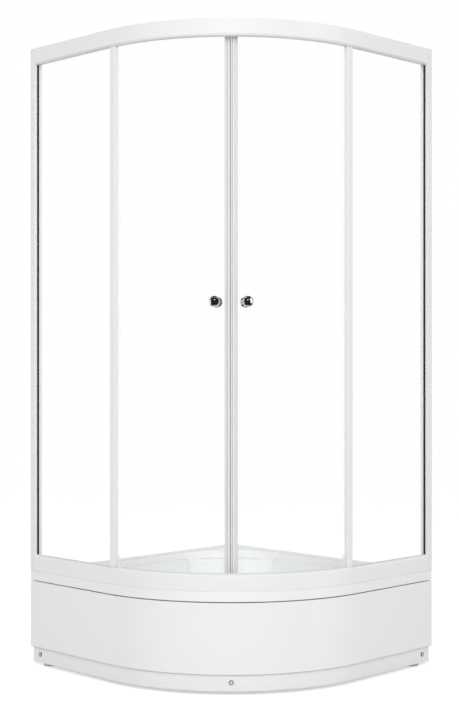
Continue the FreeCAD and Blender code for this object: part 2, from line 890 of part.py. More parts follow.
def post_cavity(slack):
    """Outline of the post's hollow beyond the pane's pocket, drawn in by a slack."""
    return box_corners(
        post_inset + post_wall + slack, post_inset + post_depth - post_wall - slack,
        post_start + post_pocket + post_wall + slack, post_end - post_wall - slack,
    )


def post():
    """Hollow upright at the pane's free edge, with a pocket for the pane."""
    low, high = lower_edge - overrun, upper_edge + overrun
    far = post_inset + post_depth
    blank = upright(
        box_corners(post_inset, far, post_start, post_end, post_round), on_side, lower_edge, upper_edge
    )
    pocket = box_corners(groove_outer, groove_inner, post_start - overrun, post_start + post_pocket)
    return blank.cut([upright(corners, on_side, low, high) for corners in (pocket, post_cavity(0))])


def post_connectors():
    """Plugs in the posts' ends with a tab up or down into the rails' groove."""
    pieces = []
    tab_start = post_past_bend + post_pocket + post_wall + tab_setback
    tab_end = post_past_bend + post_width - post_wall - tab_setback
    tab_angles = [math.degrees(run / (front_radius - pane_inset)) for run in (tab_start, tab_end)]
    for edge, direction in ((upper_edge, 1), (lower_edge, -1)):
        inside = sorted((edge, edge - direction * plug_length))
        above = sorted((edge, edge + direction * tab_height))
        plug = upright(post_cavity(plug_slack), on_side, *inside)
        tab_face = section(box_corners(groove_outer + tab_slack, groove_inner - tab_slack, *above))
        pieces.append(plug.fuse(sector(tab_face, *tab_angles)).removeSplitter())
    return both_sides(pieces)


# Doors

def door_pane():
    """Curved sliding pane with holes for its rollers and its knob."""
    face = section(box_corners(door_outer, door_inner, door_low, door_high))
    pane = sector(face, door_lead_angle, door_trail_angle)
    axle_hole = round_bar(door_outer - overrun, door_inner + overrun, axle_neck_radius + axle_hole_slack)
    knob_hole = round_bar(door_outer - overrun, door_inner + overrun, knob_hole_radius)
    holes = [radial(axle_hole, a, z) for a in roller_angles for z in wheel_heights.values()]
    return pane.cut(holes + [radial(knob_hole, knob_angle, knob_height)])


def magnet_pocket(slack):
    """Outline of the hollow that holds the magnetic strip, drawn in by a slack."""
    reach = magnet_half_depth - magnet_wall - slack
    low = magnet_meeting_gap + magnet_wall + slack
    return box_corners(low, magnet_head - magnet_wall - slack, -reach, reach)


def magnet_profile():
    """Seal profile clipped on the door's meeting edge, with a hollow head for the magnetic strip."""
    slot = glass / 2 + clip_slack
    arm = slot + clip_arm
    neck = magnet_head + magnet_taper
    end = door_edge_setback + clip_reach
    half_outline = [
        (magnet_meeting_gap, magnet_half_depth), (magnet_head, magnet_half_depth), (neck, arm), (end, arm),
        (end, slot), (door_edge_setback - clearance, slot),
    ]
    points = half_outline + [(a, -b) for a, b in reversed(half_outline)]
    place = at_bend(BISECTOR)
    body = upright(sharp(points), place, door_low, door_high)
    return body.cut(upright(magnet_pocket(0), place, door_low - overrun, door_high + overrun))


def magnet_strip():
    """Magnetic strip in the seal profile's head."""
    return upright(magnet_pocket(magnet_slack), at_bend(BISECTOR), door_low, door_high)


def edge_seal():
    """Seal clipped on the door's hidden edge, with a fin towards the post."""
    slot = glass / 2 + clip_slack
    arm = slot + seal_arm
    tip = door_inset - post_inset - post_depth - seal_post_gap
    fin_near = -seal_fin_from_edge
    fin_far = fin_near - seal_fin
    points = [
        (seal_back, -arm), (seal_back, arm), (fin_near, arm), (fin_near, tip), (fin_far, tip), (fin_far, arm),
        (-seal_reach, arm), (-seal_reach, slot), (clearance, slot), (clearance, -slot), (-seal_reach, -slot),
        (-seal_reach, -arm),
    ]
    low, high = lower_edge + seal_rail_gap, upper_edge - seal_rail_gap
    return upright(sharp(points), at_bend(door_lead_angle), low, high)


def knob_seats():
    """Insets of the outer and the inner knob's washer faces on the pane."""
    return door_outer, hollow_seat(knob_washer_radius)


def turned_knob():
    """Turned knob for the pane's outer face: rose, neck and ball, bored for its stud."""
    seat = knob_seats()[0] - knob_washer
    rose_face = seat - knob_rose
    ball_centre = rose_face - knob_neck - knob_ball_radius
    neck_end = ball_centre + knob_ball_radius / 2
    stem = turned([
        (seat, 0, 0), (neck_end, 0, 0), (neck_end, knob_neck_radius, 0), (rose_face, knob_neck_radius, 0),
        (rose_face, knob_rose_radius, knob_rose_round), (seat, knob_rose_radius, 0),
    ])
    ball = Part.makeSphere(knob_ball_radius, FreeCAD.Vector(front_radius - ball_centre, 0, 0))
    bore = round_bar(seat - knob_bore_depth, seat + overrun, knob_stud_radius + knob_stud_slack)
    return stem.fuse(ball).removeSplitter().cut(bore)


def knob_outer():
    """Knob outside the door."""
    return radial(turned_knob(), knob_angle, knob_height)


def knob_inner():
    """The same knob turned round, inside the door."""
    middle = FreeCAD.Vector(front_radius - sum(knob_seats()) / 2, 0, 0)
    return radial(turned_knob().mirror(middle, FreeCAD.Vector(1, 0, 0)), knob_angle, knob_height)


def knob_stud():
    """Threaded stud through the pane that draws the two knobs together."""
    reach = knob_washer + knob_bore_depth
    outer_seat, inner_seat = knob_seats()
    bar = round_bar(outer_seat - reach, inner_seat + reach, knob_stud_radius)
    return radial(bar, knob_angle, knob_height)


def knob_washers():
    """Soft washers between the knobs and the pane."""
    bore = knob_stud_radius + knob_stud_slack
    outer_seat, inner_seat = knob_seats()
    washers = []
    for start, end in ((outer_seat - knob_washer, outer_seat), (inner_seat, inner_seat + knob_washer)):
        washer = turned(sharp([
            (start, bore), (end, bore), (end, knob_washer_radius), (start, knob_washer_radius),
        ]))
        washers.append(radial(washer, knob_angle, knob_height))
    return Part.makeCompound(washers)


def roller_axles():
    """Stepped axles through the pane: cap inside, shoulder outside, journal and riveted flange."""
    wheel_near = wheel_inset + wheel_width / 2 + clearance
    wheel_far = wheel_inset - wheel_width / 2 - clearance
    end = wheel_far - axle_flange
    seat = hollow_seat(axle_cap_radius)
    cap = seat + axle_cap
    axle = turned([
        (end, 0, 0), (cap, 0, 0), (cap, axle_cap_radius, axle_cap_round), (seat, axle_cap_radius, 0),
        (seat, axle_neck_radius, 0), (door_outer, axle_neck_radius, 0),
        (door_outer, axle_shoulder_radius, 0), (wheel_near, axle_shoulder_radius, 0),
        (wheel_near, axle_radius, 0), (wheel_far, axle_radius, 0), (wheel_far, axle_flange_radius, 0),
        (end, axle_flange_radius, 0),
    ])
    return Part.makeCompound([radial(axle, a, z) for z in wheel_heights.values() for a in roller_angles])


def wheel(angle, z):
    """Nylon wheel with chamfered rims and a hub that stands proud of its web."""
    near = wheel_inset + wheel_width / 2
    far = wheel_inset - wheel_width / 2
    bore = axle_radius + axle_fit
    shoulder = wheel_radius - wheel_chamfer
    half_outline = [
        (far, bore), (far, wheel_hub_radius), (far + wheel_recess, wheel_hub_radius + wheel_recess),
        (far + wheel_recess, shoulder - wheel_recess), (far, shoulder), (far + wheel_chamfer, wheel_radius),
    ]
    points = half_outline + [(near + far - a, b) for a, b in reversed(half_outline)]
    return radial(turned(sharp(points)), angle, z)


# Nodes

def whole_nodes():
    """Pieces that lie on the diagonal or stand as one group, by name."""
    return {
        "tray_shell": tray_shell(),
        "tray_base_board": tray_base_board(),
        "support_frame": support_frame(),
        "foot_studs": foot_studs(),
        "foot_lock_nuts": foot_lock_nuts(),
        "foot_pads": foot_pads(),
        "apron_panel": apron_panel(),
        "apron_brackets": apron_brackets(),
        "apron_clips": apron_clips(),
        "apron_screws": apron_screws(),
        "apron_screw_cups": apron_screw_cups(),
        "drain_flange": drain_flange_body(),
        "drain_gasket": drain_gasket_ring(),
        "drain_nut": drain_nut_ring(),
        "drain_cover": drain_cover_disc(),
        "drain_trap": drain_trap(),
        "top_rail": rail(upper_edge, 1),
        "bottom_rail": rail(lower_edge, -1),
        "door_stops": door_stops(),
        "stile_screws": stile_screws(),
        "rail_corner_blocks": rail_corner_blocks(),
        "rail_corner_screws": rail_corner_screws(),
        "post_connectors": post_connectors(),
    }


def right_nodes():
    """Right-hand pieces that have a left-hand twin, by the first part of their name."""
    pieces = {
        "wall_channel": wall_channel_drilled(),
        "stile": stile(),
        "glass_gasket": glass_gasket(),
        "fixed_glass": fixed_pane(),
        "post": post(),
        "door_glass": door_pane(),
        "magnet_profile": magnet_profile(),
        "magnet_strip": magnet_strip(),
        "edge_seal": edge_seal(),
        "knob_outer": knob_outer(),
        "knob_inner": knob_inner(),
        "knob_stud": knob_stud(),
        "knob_washers": knob_washers(),
        "roller_axles": roller_axles(),
    }
    for level, z in wheel_heights.items():
        for place, angle in zip(("post", "centre"), roller_angles):
            pieces[f"{level}_{place}_wheel"] = wheel(angle, z)
    return pieces


def main():
    os.makedirs("parts", exist_ok=True)
    nodes = whole_nodes()
    for name, shape in right_nodes().items():
        nodes[name + "_right"] = shape
        nodes[name + "_left"] = mirrored(shape)
    for name, shape in nodes.items():
        shape.exportStep(f"parts/{name}.step")


main()
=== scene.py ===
"""Dresses a quadrant corner shower enclosure: deep acrylic tray, white coated surround, clear curved doors.

Metres, +Z up, floor at z = 0. The room's corner is at -X +Y and the curved front faces +X and -Y. The
object is symmetric about the upright plane x = -y, so paired pieces are worked out on the right-hand
side, beside x = +HALF, and mirrored. Insets are counted from the front's outer face, runs from the
right-hand wall, and angles round the bend from its right-hand end."""

import json
import math

import bpy
import numpy as np
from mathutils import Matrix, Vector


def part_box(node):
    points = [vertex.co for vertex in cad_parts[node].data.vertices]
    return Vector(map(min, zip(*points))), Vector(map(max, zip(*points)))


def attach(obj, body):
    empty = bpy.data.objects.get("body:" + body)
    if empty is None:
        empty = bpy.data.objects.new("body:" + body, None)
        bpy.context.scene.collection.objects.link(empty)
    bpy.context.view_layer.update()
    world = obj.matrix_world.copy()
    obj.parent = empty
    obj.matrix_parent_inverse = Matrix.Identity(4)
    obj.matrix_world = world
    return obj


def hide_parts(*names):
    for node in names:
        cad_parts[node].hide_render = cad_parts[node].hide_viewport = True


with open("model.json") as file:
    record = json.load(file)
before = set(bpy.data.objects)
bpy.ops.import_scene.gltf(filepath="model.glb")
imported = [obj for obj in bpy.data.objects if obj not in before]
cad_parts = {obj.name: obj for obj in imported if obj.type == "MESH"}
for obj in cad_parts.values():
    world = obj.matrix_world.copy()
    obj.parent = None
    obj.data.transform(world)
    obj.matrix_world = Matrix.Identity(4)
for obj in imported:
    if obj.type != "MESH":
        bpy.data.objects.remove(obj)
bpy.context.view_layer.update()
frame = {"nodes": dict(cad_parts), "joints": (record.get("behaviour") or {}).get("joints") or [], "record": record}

bl_info = {
    "name": "Quadrant shower enclosure",
    "version": (1, 0, 0),
    "blender": (4, 5, 0),
    "location": "3D View > Sidebar > Shower",
    "description": "Tray, apron, rails, panes, seals, knobs and rollers of a corner shower enclosure",
    "category": "Object",
}

# What the packed frame says
RECORD = frame["record"]
BODY_OF = {node: body for body, nodes in RECORD["behaviour"]["bodies"].items() for node in nodes}
SLOT_OF = {row["node"]: row["material_slot"] for row in RECORD["subparts"]}
SPINS = [joint for joint in frame["joints"] if joint["name"].endswith("_spin")]
SIDES = ("right", "left")
X, Z = 0, 2


def low(node, axis):
    """Lowest coordinate of a node along an axis."""
    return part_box(node)[0][axis]


def high(node, axis):
    """Highest coordinate of a node along an axis."""
    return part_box(node)[1][axis]


def middle(node):
    """Middle of a node's box."""
    return (np.array(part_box(node)[0]) + np.array(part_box(node)[1])) / 2


HALF = high("tray_shell", X)
TRAY_TOP = high("tray_shell", Z)
TOTAL = high("top_rail", Z)
RAIL_HEIGHT = high("bottom_rail", Z) - low("bottom_rail", Z)
OPEN_LOW = high("bottom_rail", Z)
OPEN_HIGH = low("top_rail", Z)
DIAGONAL = np.array((1.0, -1.0)) / math.sqrt(2)
BISECTOR = math.radians(45)
QUARTER = math.radians(90)
UP = np.array((0.0, 0.0, 1.0))
CENTRE = UP * TOTAL / 2
# Radius of the dot that caps a turned piece on its axis, and the usual rounding of an edge
AXIS_DOT = 0.0002
EDGE = 0.0005


# Settings that a user would change

def length(name, description, default):
    """A size in metres."""
    return bpy.props.FloatProperty(
        name=name, description=description, default=default, unit="LENGTH", precision=4)


def share(name, description, default):
    """A plain number."""
    return bpy.props.FloatProperty(name=name, description=description, default=default, precision=3)


def power(name, description, default):
    """A lamp's power in watts."""
    return bpy.props.FloatProperty(name=name, description=description, default=default, unit="POWER")


def angle(name, description, degrees):
    """An angle, given in degrees."""
    return bpy.props.FloatProperty(
        name=name, description=description, default=math.radians(degrees), subtype="ANGLE")


def colour(name, description, default):
    """A linear colour."""
    return bpy.props.FloatVectorProperty(
        name=name, description=description, default=default, subtype="COLOR", size=3, min=0, max=1)


class ShowerSurround(bpy.types.PropertyGroup):
    """Rails, uprights, gaskets and panes."""

    front_radius: length("Front radius", "Radius of the bend's outer face", 0.530)
    rail_depth: length("Rail depth", "Rail from its outer face to its inner edge", 0.058)
    rail_round: length("Rail round", "Rounding of the edge that faces the opening", 0.010)
    rail_face: length("Rail face", "Thickness of the rail's face and cover", 0.002)
    rail_web: length("Rail web", "Thickness of the rail's webs", 0.0015)
    groove_width: length("Groove width", "Width of the rails' groove for the panes", 0.006)
    groove_depth: length("Groove depth", "Depth of the rails' groove", 0.012)
    lip_end: length("Lip end", "Inset of the rollers' lip", 0.041)
    lip_thickness: length("Lip thickness", "Thickness of the rollers' lip", 0.002)
    lip_rib: length("Lip rib", "Height of the rib along the lip", 0.003)
    stile_reach: length("Stile reach", "Wall to the stile's free face", 0.016)
    stile_gap: length("Stile gap", "Wall to the stile's back", 0.004)
    stile_wall: length("Stile wall", "Thickness of the stile's walls", 0.0015)
    stile_outer: length("Stile outer face", "Inset of the stile's outer face", 0.0018)
    stile_inner: length("Stile inner face", "Inset of the stile's inner face", 0.0342)
    pocket_width: length("Pocket width", "Width of the stile's pocket", 0.008)
    pocket_depth: length("Pocket depth", "Depth of the stile's pocket", 0.008)
    gasket_slack: length("Gasket slack", "Gap round the gasket in its pocket", 0.0001)
    gasket_wall: length("Gasket wall", "Thickness of the gasket", 0.0013)
    gasket_lip: length("Gasket lip", "Lip that shows beside the stile", 0.002)
    gasket_lip_width: length("Gasket lip width", "Thickness of the lip on the pane", 0.0009)
    pane_inset: length("Pane inset", "Inset of the fixed pane's middle", 0.018)
    glass: length("Glass", "Thickness of the panes", 0.005)
    arris: length("Arris", "Ground edge of the panes", 0.0006)
    post_inset: length("Post inset", "Inset of the post's outer face", 0.011)
    post_depth: length("Post depth", "Post from outer to inner face", 0.014)
    post_width: length("Post width", "Width of the post", 0.0235)
    post_past_bend: length("Post past bend", "Start of the bend to the post", 0.005)
    post_pocket: length("Post pocket", "Depth of the post's pocket", 0.012)
    post_round: length("Post round", "Rounding of the post's corners", 0.002)
    door_inset: length("Door inset", "Inset of the doors' middle surface", 0.048)
    door_lead: angle("Door lead", "Angle of the door's hidden edge", 1.0)
    door_setback: length("Door setback", "Middle plane to the door's meeting edge", 0.013)


class ShowerSeals(bpy.types.PropertyGroup):
    """Magnetic and edge seals of the doors."""

    meeting_gap: length("Meeting gap", "Middle plane to the seal's face", 0.0004)
    head: length("Head", "Middle plane to the back of the seal's head", 0.0095)
    taper: length("Taper", "Slope behind the head", 0.001)
    half_depth: length("Half depth", "Half the depth of the head", 0.006)
    bead: length("Bead", "Rounding of the head's beads", 0.0016)
    groove: length("Groove", "Depth of the groove between the beads", 0.0012)
    groove_start: length("Groove start", "Middle plane to the groove", 0.0036)
    groove_end: length("Groove end", "Middle plane to the groove's far side", 0.0074)
    clip_slot: length("Clip slot", "Half the width of the clip's slot", 0.003)
    clip_arm: length("Clip arm", "Thickness of the clip's arms", 0.0012)
    clip_reach: length("Clip reach", "Grip of the clip on the pane", 0.006)
    # The left stripe and the right band are painted shade for the dark lines of the seal's grooves; the left is
    # darker as a painted reflection.
    stripe_start: length("Stripe start", "Middle plane to the left magnet's stripe", 0.0008)
    stripe_end: length("Stripe end", "Middle plane to that stripe's far side", 0.0046)
    vein_start: length("Vein start", "Middle plane to the right seal's grey vein", 0.0023)
    vein_end: length("Vein end", "Middle plane to that vein's far side", 0.0049)
    bead_edge: length("Bead edge", "Middle plane to the clips' start", 0.0088)
    clip_line: length("Clip line", "Width of the darker line along the left clip", 0.002)
    back: length("Back", "Edge seal past the pane's edge", 0.0018)
    reach: length("Reach", "Grip of the edge seal on the pane", 0.006)
    fin: length("Fin", "Thickness of the edge seal's fin", 0.0024)
    fin_setback: length("Fin setback", "Pane's edge to the fin", 0.001)
    fin_tip: length("Fin tip", "Pane's middle to the tip of the fin", 0.021)


class ShowerTray(bpy.types.PropertyGroup):
    """Tray and apron."""

    rim_front: length("Front rim", "Width of the rim along the front", 0.076)
    rim_back: length("Back rim", "Width of the rim along the walls", 0.050)
    rim_edge: length("Rim edge", "Height of the turned-down edge", 0.030)
    rim_round: length("Rim round", "Rounding of the rim's top edge", 0.0025)
    lip_round: length("Lip round", "Rounding of the basin's mouth", 0.008)
    wall: length("Wall", "Thickness of the acrylic skin", 0.005)
    depth: length("Depth", "Rim to floor", 0.150)
    lean: length("Lean", "How far the basin's walls lean in", 0.026)
    corner: length("Corner", "Radius of the basin's end corners", 0.070)
    back_corner: length("Back corner", "Radius in the room's corner", 0.230)
    outer_corner: length("Outer corner", "Radius of the rim's corners at the walls", 0.003)
    ledge_reach: length("Ledge reach", "Ledge along the diagonal from the room's corner", 0.231)
    ledge_drop: length("Ledge drop", "Rim to ledge", 0.024)
    ledge_round: length("Ledge round", "Rounding of the ledge's edge", 0.005)
    ledge_cove: length("Ledge cove", "Hollow rounding behind the ledge", 0.008)
    ledge_blend: length("Ledge blend", "Softness where the ledge meets the walls", 0.001)
    ledge_grip: length("Ledge grip", "Length over which the ledge's edge runs out into the walls", 0.004)
    ledge_seam: length("Ledge seam", "Depth of the seams at the ledge's ends", 0.0045)
    ledge_seam_width: length("Seam width", "Width of those seams", 0.0032)
    floor_cove: length("Floor cove", "Hollow rounding round the floor", 0.030)
    floor_fall: length("Floor fall", "Fall of the floor towards the drain", 0.003)
    hole: length("Drain hole", "Radius of the drain's hole", 0.026)
    apron_wall: length("Apron wall", "Thickness of the apron", 0.004)
    apron_flange: length("Apron flange", "Flange along the apron's top", 0.020)
    apron_foot: length("Apron foot", "Height of the step over the kick strip", 0.060)
    apron_gap: length("Apron gap", "Apron's ends to the walls", 0.001)
    apron_round: length("Apron round", "Rounding of the apron's outer edges", 0.002)
    kick_recess: length("Kick recess", "Kick strip behind the apron", 0.012)
    kick_gap: length("Kick gap", "Height of the groove over the kick strip", 0.003)
    kick_groove: length("Kick groove", "Depth of that groove", 0.003)


class ShowerFittings(bpy.types.PropertyGroup):
    """Knobs, screws, rollers, drain and feet."""

    knob_height: length("Knob height", "Floor to the knobs", 1.135)
    knob_from_middle: length("Knob from middle", "Middle plane to a knob's axis", 0.045)
    knob_ball: length("Knob ball", "Radius of the ball", 0.016)
    knob_neck: length("Knob neck", "Radius of the neck", 0.007)
    knob_neck_length: length("Neck length", "Rose to ball", 0.012)
    knob_rose: length("Knob rose", "Radius of the rose", 0.013)
    knob_rose_height: length("Rose height", "Height of the rose", 0.003)
    knob_washer: length("Knob washer", "Radius of the soft washers", 0.011)
    knob_washer_height: length("Washer height", "Thickness of the soft washers", 0.001)
    screw_height: length("Screw height", "Floor to the apron's screws", 0.036)
    screw_from_wall: length("Screw from wall", "Wall to the apron's end screws", 0.036)
    screw_head: length("Screw head", "Radius of the apron screws' heads", 0.0044)
    screw_head_height: length("Screw head height", "Height of their heads", 0.0024)
    cup: length("Cup", "Radius of the cup washers", 0.007)
    cup_depth: length("Cup depth", "Height of the cup washers", 0.0026)
    wheel: length("Wheel", "Radius of the rollers", 0.010)
    wheel_width: length("Wheel width", "Width of the rollers", 0.006)
    wheel_inset: length("Wheel inset", "Inset of the rollers' middle", 0.0315)
    wheel_hub: length("Wheel hub", "Radius of the rollers' hub", 0.0055)
    wheel_recess: length("Wheel recess", "Depth of the web beside the hub", 0.001)
    wheel_slack: length("Wheel slack", "Gap beside the rollers", 0.0003)
    axle: length("Axle", "Radius of the axles", 0.003)
    axle_flange: length("Axle flange", "Radius of the riveted end", 0.004)
    axle_flange_height: length("Flange height", "Thickness of the riveted end", 0.0013)
    axle_shoulder: length("Axle shoulder", "Radius of the shoulder outside the pane", 0.006)
    axle_neck: length("Axle neck", "Radius of the neck through the pane", 0.0038)
    axle_cap: length("Axle cap", "Radius of the cap inside the pane", 0.009)
    axle_cap_height: length("Cap height", "Height of the cap", 0.004)
    drain_flange: length("Drain flange", "Radius of the drain's flange", 0.036)
    drain_flange_height: length("Flange height", "Thickness of the drain's flange", 0.002)
    drain_tube: length("Drain tube", "Outer radius of the drain's tube", 0.024)
    drain_bore: length("Drain bore", "Bore of the drain's tube", 0.021)
    drain_tube_length: length("Tube length", "Length of the drain's tube", 0.034)
    drain_cover: length("Drain cover", "Radius of the cover", 0.032)
    drain_cover_height: length("Cover height", "Height of the cover", 0.004)
    drain_skirt: length("Drain skirt", "Depth of the cover's skirt", 0.009)
    drain_skirt_radius: length("Skirt radius", "Outer radius of the skirt", 0.020)
    drain_skirt_wall: length("Skirt wall", "Thickness of the skirt", 0.002)
    foot_from_wall: length("Foot from wall", "Walls to the frame's tubes", 0.050)
    foot_from_front: length("Foot from front", "Front to the end feet", 0.040)
    front_foot_inset: length("Front foot inset", "Inset of the front foot", 0.128)
    pad: length("Pad", "Radius of the foot pads", 0.020)
    pad_neck: length("Pad neck", "Radius of the pads' shoulder", 0.012)
    pad_base: length("Pad base", "Height of the pads' sole", 0.006)
    pad_height: length("Pad height", "Height of the pads", 0.016)
    stud: length("Stud", "Radius of the threaded studs", 0.006)
    stud_pitch: length("Stud pitch", "Pitch of the studs' thread", 0.00175)
    stud_thread: length("Stud thread", "Depth of the studs' thread", 0.0009)


class ShowerFinish(bpy.types.PropertyGroup):
    """Colours of the finishes."""

    coated_white: colour("Coated white", "Powder coat of the surround", (0.830, 0.832, 0.838))
    acrylic_white: colour("Acrylic white", "Tray and apron", (0.845, 0.852, 0.846))
    clear_glass: colour("Clear glass", "Tint of the panes", (0.988, 0.996, 0.992))
    gasket_dark: colour("Dark gasket", "Rubber beside the fixed panes", (0.045, 0.045, 0.047))
    seal_clear: colour("Pale vinyl", "Beads of the meeting seals", (0.85, 0.86, 0.85))
    seal_clip: colour("Grey vinyl", "Clips of the meeting seals", (0.68, 0.69, 0.68))
    # The grey line and the stripe below are painted shade for the dark lines of the seal's grooves; the grey also
    # draws the darker line along the left clip.
    seal_line: colour("Grey line", "Veins along the meeting seals", (0.50, 0.505, 0.50))
    seal_magnet: colour("Magnet stripe", "Groove over the magnet", (0.36, 0.36, 0.365))
    edge_vinyl: colour("Clear vinyl", "Edge seals", (0.985, 0.992, 0.988))
    magnet_grey: colour("Magnet grey", "Magnetic strips", (0.12, 0.12, 0.125))
    knob_chrome: colour("Chrome", "Knobs and their studs", (0.90, 0.91, 0.92))
    drain_satin: colour("Satin plate", "Drain's ring and cover", (0.80, 0.80, 0.80))
    washer_soft: colour("Soft washer", "Washers under the knobs", (0.72, 0.73, 0.72))
    bright_steel: colour("Bright steel", "Zinc-plated studs, nuts and axles", (0.62, 0.63, 0.65))
    frame_steel: colour("Frame steel", "Galvanised frame", (0.42, 0.43, 0.44))
    foot_plastic: colour("Foot plastic", "Foot pads", (0.62, 0.62, 0.625))
    wheel_nylon: colour("Nylon", "Rollers", (0.78, 0.77, 0.73))
    base_board: colour("Base board", "Chipboard under the tray", (0.46, 0.33, 0.20))
    trap_plastic: colour("Trap plastic", "Waste trap", (0.80, 0.80, 0.78))
    connector_plastic: colour("Connector plastic", "Blocks and plugs", (0.16, 0.16, 0.165))


class ShowerStage(bpy.types.PropertyGroup):
    """Floor, light and camera."""

    floor_colour: colour("Floor", "Pale floor", (0.85, 0.85, 0.85))
    floor_radius: length("Floor radius", "Radius of the floor", 9.0)
    floor_lift: share("Floor lift", "Light that the floor adds for the camera, mirrors and glass", 0.50)
    floor_fade_start: share("Fade start", "Share of the floor's radius where it starts to fade", 0.3)
    floor_fade_end: share("Fade end", "Share of the floor's radius where it is gone", 0.95)
    sky: share("Sky", "Strength of the soft light from all round", 0.575)
    front_light: power("Front light", "Softbox on the camera's side", 160.0)
    front_width: length("Front width", "Width of the front softbox", 3.4)
    front_height: length("Front height", "Height of the front softbox", 2.4)
    front_reach: length("Front distance", "Front softbox from the middle, in plan", 6.0)
    front_rise: length("Front rise", "Middle of the front softbox over the floor", 2.6)
    top_light: power("Top light", "Softbox overhead", 15.0)
    top_width: length("Top width", "Width of the softbox overhead", 0.9)
    top_height: length("Top height", "Softbox overhead over the floor", 3.4)
    edge_light: power("Edge light", "Strip that edges mirror", 16.0)
    edge_width: length("Edge width", "Width of the strip", 1.6)
    edge_height: length("Edge height", "Height of the strip", 0.4)
    edge_reach: length("Edge distance", "Strip from the middle, in plan", 5.5)
    edge_rise: length("Edge rise", "Strip over the floor", 4.6)
    fill_light: power("Fill light", "Soft spot on the corner ledge", 330.0)
    fill_cone: angle("Fill cone", "Full angle of the spot", 6.0)
    fill_size: length("Fill size", "Radius of the spot's lamp", 0.2)
    fill_reach: length("Fill distance", "Spot from the middle, in plan", 4.2)
    fill_rise: length("Fill rise", "Spot over the floor", 2.2)
    flag_radius: length("Flag radius", "Radius of the dark flags round the stage", 7.0)
    flag_tone: colour("Flag", "Dark cloth of the flags", (0.012, 0.012, 0.014))
    window_reach: length("Window distance", "White window at the right from the middle", 4.6)
    window_light: share("Window light", "Power of that window, in watts for each square metre", 3.1)
    camera_reach: length("Camera distance", "Camera from the middle, in plan", 4.445)
    camera_height: length("Camera height", "Camera over the floor", 0.970)
    lens: bpy.props.FloatProperty(
        name="Lens", description="Focal length on a 36 mm frame", default=70.1, unit="CAMERA")
    shift_x: share("Shift X", "Sideways shift of the frame", -0.0024)
    shift_y: share("Shift Y", "Upward shift of the frame", -0.0019)


def settings(name):
    """A group of settings of the scene."""
    return getattr(bpy.context.scene, "shower_" + name)


# Surfaces on grids

def rounded(corners, steps=5, closed=True, eased=False):
    """Outline through corners (a, b, radius), with each corner an arc.

    An arc's centre lies on the corner's bisector at radius / sin(half angle), and its points run from
    one tangent point to the other by equal turns or, eased, crowd towards both as (1 - cos(pi t)) / 2.
    An open outline keeps its two ends as they are."""
    table = np.array(corners, float)
    spots, radii = table[:, :2], np.maximum(table[:, 2:], EDGE / 10)
    back = np.roll(spots, 1, 0) - spots
    ahead = np.roll(spots, -1, 0) - spots
    back /= np.linalg.norm(back, axis=1, keepdims=True)
    ahead /= np.linalg.norm(ahead, axis=1, keepdims=True)
    half_turn = np.arccos(np.clip((back * ahead).sum(1, keepdims=True), -1, 1)) / 2
    inward = (back + ahead) / np.linalg.norm(back + ahead, axis=1, keepdims=True)
    centres = spots + inward * radii / np.sin(half_turn)
    reach = radii / np.tan(half_turn)
    first, last = spots + back * reach - centres, spots + ahead * reach - centres
    sweep = (math.pi - 2 * half_turn)[:, None]
    along = np.linspace(0, 1, steps)[None, :, None]
    if eased:
        along = (1 - np.cos(math.pi * along)) / 2
    arcs = np.sin((1 - along) * sweep) * first[:, None] + np.sin(along * sweep) * last[:, None]
    arcs = centres[:, None] + arcs / np.sin(sweep)
    if closed:
        return arcs.reshape(-1, 2)
    return np.concatenate([spots[:1], arcs[1:-1].reshape(-1, 2), spots[-1:]])


def grid_quads(rows, columns, wrap_rows=False, wrap_columns=False):
    """Corners of the cells between neighbours on a grid, by row and column; wrapping joins its ends."""
    index = np.arange(rows * columns).reshape(rows, columns)
    if wrap_columns:
        index = np.concatenate([index, index[:, :1]], 1)
    if wrap_rows:
        index = np.concatenate([index, index[:1]], 0)
    return np.stack([index[:-1, :-1], index[:-1, 1:], index[1:, 1:], index[1:, :-1]], -1)


def skin(grid, ring=False):
    """Closed surface over a grid of points, rows by columns.

    Neighbours make quads and columns wrap round. Rows wrap too on a ring, or else end in flat caps. The
    sign of the enclosed volume, the sum of a . (b x c) / 6 over its triangles, turns the faces outward."""
    rows, columns = grid.shape[:2]
    quads = grid_quads(rows, columns, ring, True).reshape(-1, 4)
    first = np.arange(columns)
    caps = [] if ring else [first[::-1], first + (rows - 1) * columns]
    points = grid.reshape(-1, 3)
    triangles = [points[quads[:, [0, 1, 2]]], points[quads[:, [0, 2, 3]]]]
    for cap in caps:
        centre = np.broadcast_to(points[cap].mean(0), (len(cap), 3))
        triangles.append(np.stack([centre, points[cap], points[np.roll(cap, -1)]], 1))
    corners = np.concatenate(triangles)
    volume = (corners[:, 0] * np.cross(corners[:, 1], corners[:, 2])).sum() / 6
    if volume < 0:
        quads, caps = quads[:, ::-1], [cap[::-1] for cap in caps]
    return points, quads, caps


def piece(name, skins, *nodes, crease=32, slot=None, look=None):
    """One object from closed skins, standing for CAD nodes: their body, their place and, unless one is
    given, their material slot. Its finish is the slot's, or the look that is given."""
    slot = slot or SLOT_OF[nodes[0]]
    starts = np.cumsum([0] + [len(points) for points, quads, caps in skins])
    faces = []
    for (points, quads, caps), start in zip(skins, starts):
        faces += (quads + start).tolist()
        faces += [(cap + start).tolist() for cap in caps]
    mesh = bpy.data.meshes.new(name)
    mesh.from_pydata(np.concatenate([points for points, quads, caps in skins]).tolist(), [], faces)
    mesh.shade_smooth()
    mesh.set_sharp_from_angle(angle=math.radians(crease))
    mesh.materials.append(finish(look or slot))
    made = bpy.data.objects.new(name, mesh)
    bpy.context.scene.collection.objects.link(made)
    made.modifiers.new("flat faces stay flat", "WEIGHTED_NORMAL").keep_sharp = True
    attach(made, BODY_OF[nodes[0]])
    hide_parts(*nodes)


def mirrored(grid):
    """The left-hand copy of right-hand points: (x, y, z) goes to (-y, -x, z)."""
    return grid[..., [1, 0, 2]] * np.array((-1.0, -1.0, 1.0))


def sided(grid, side):
    """Right-hand points, or their left-hand copy."""
    return grid if side == "right" else mirrored(grid)


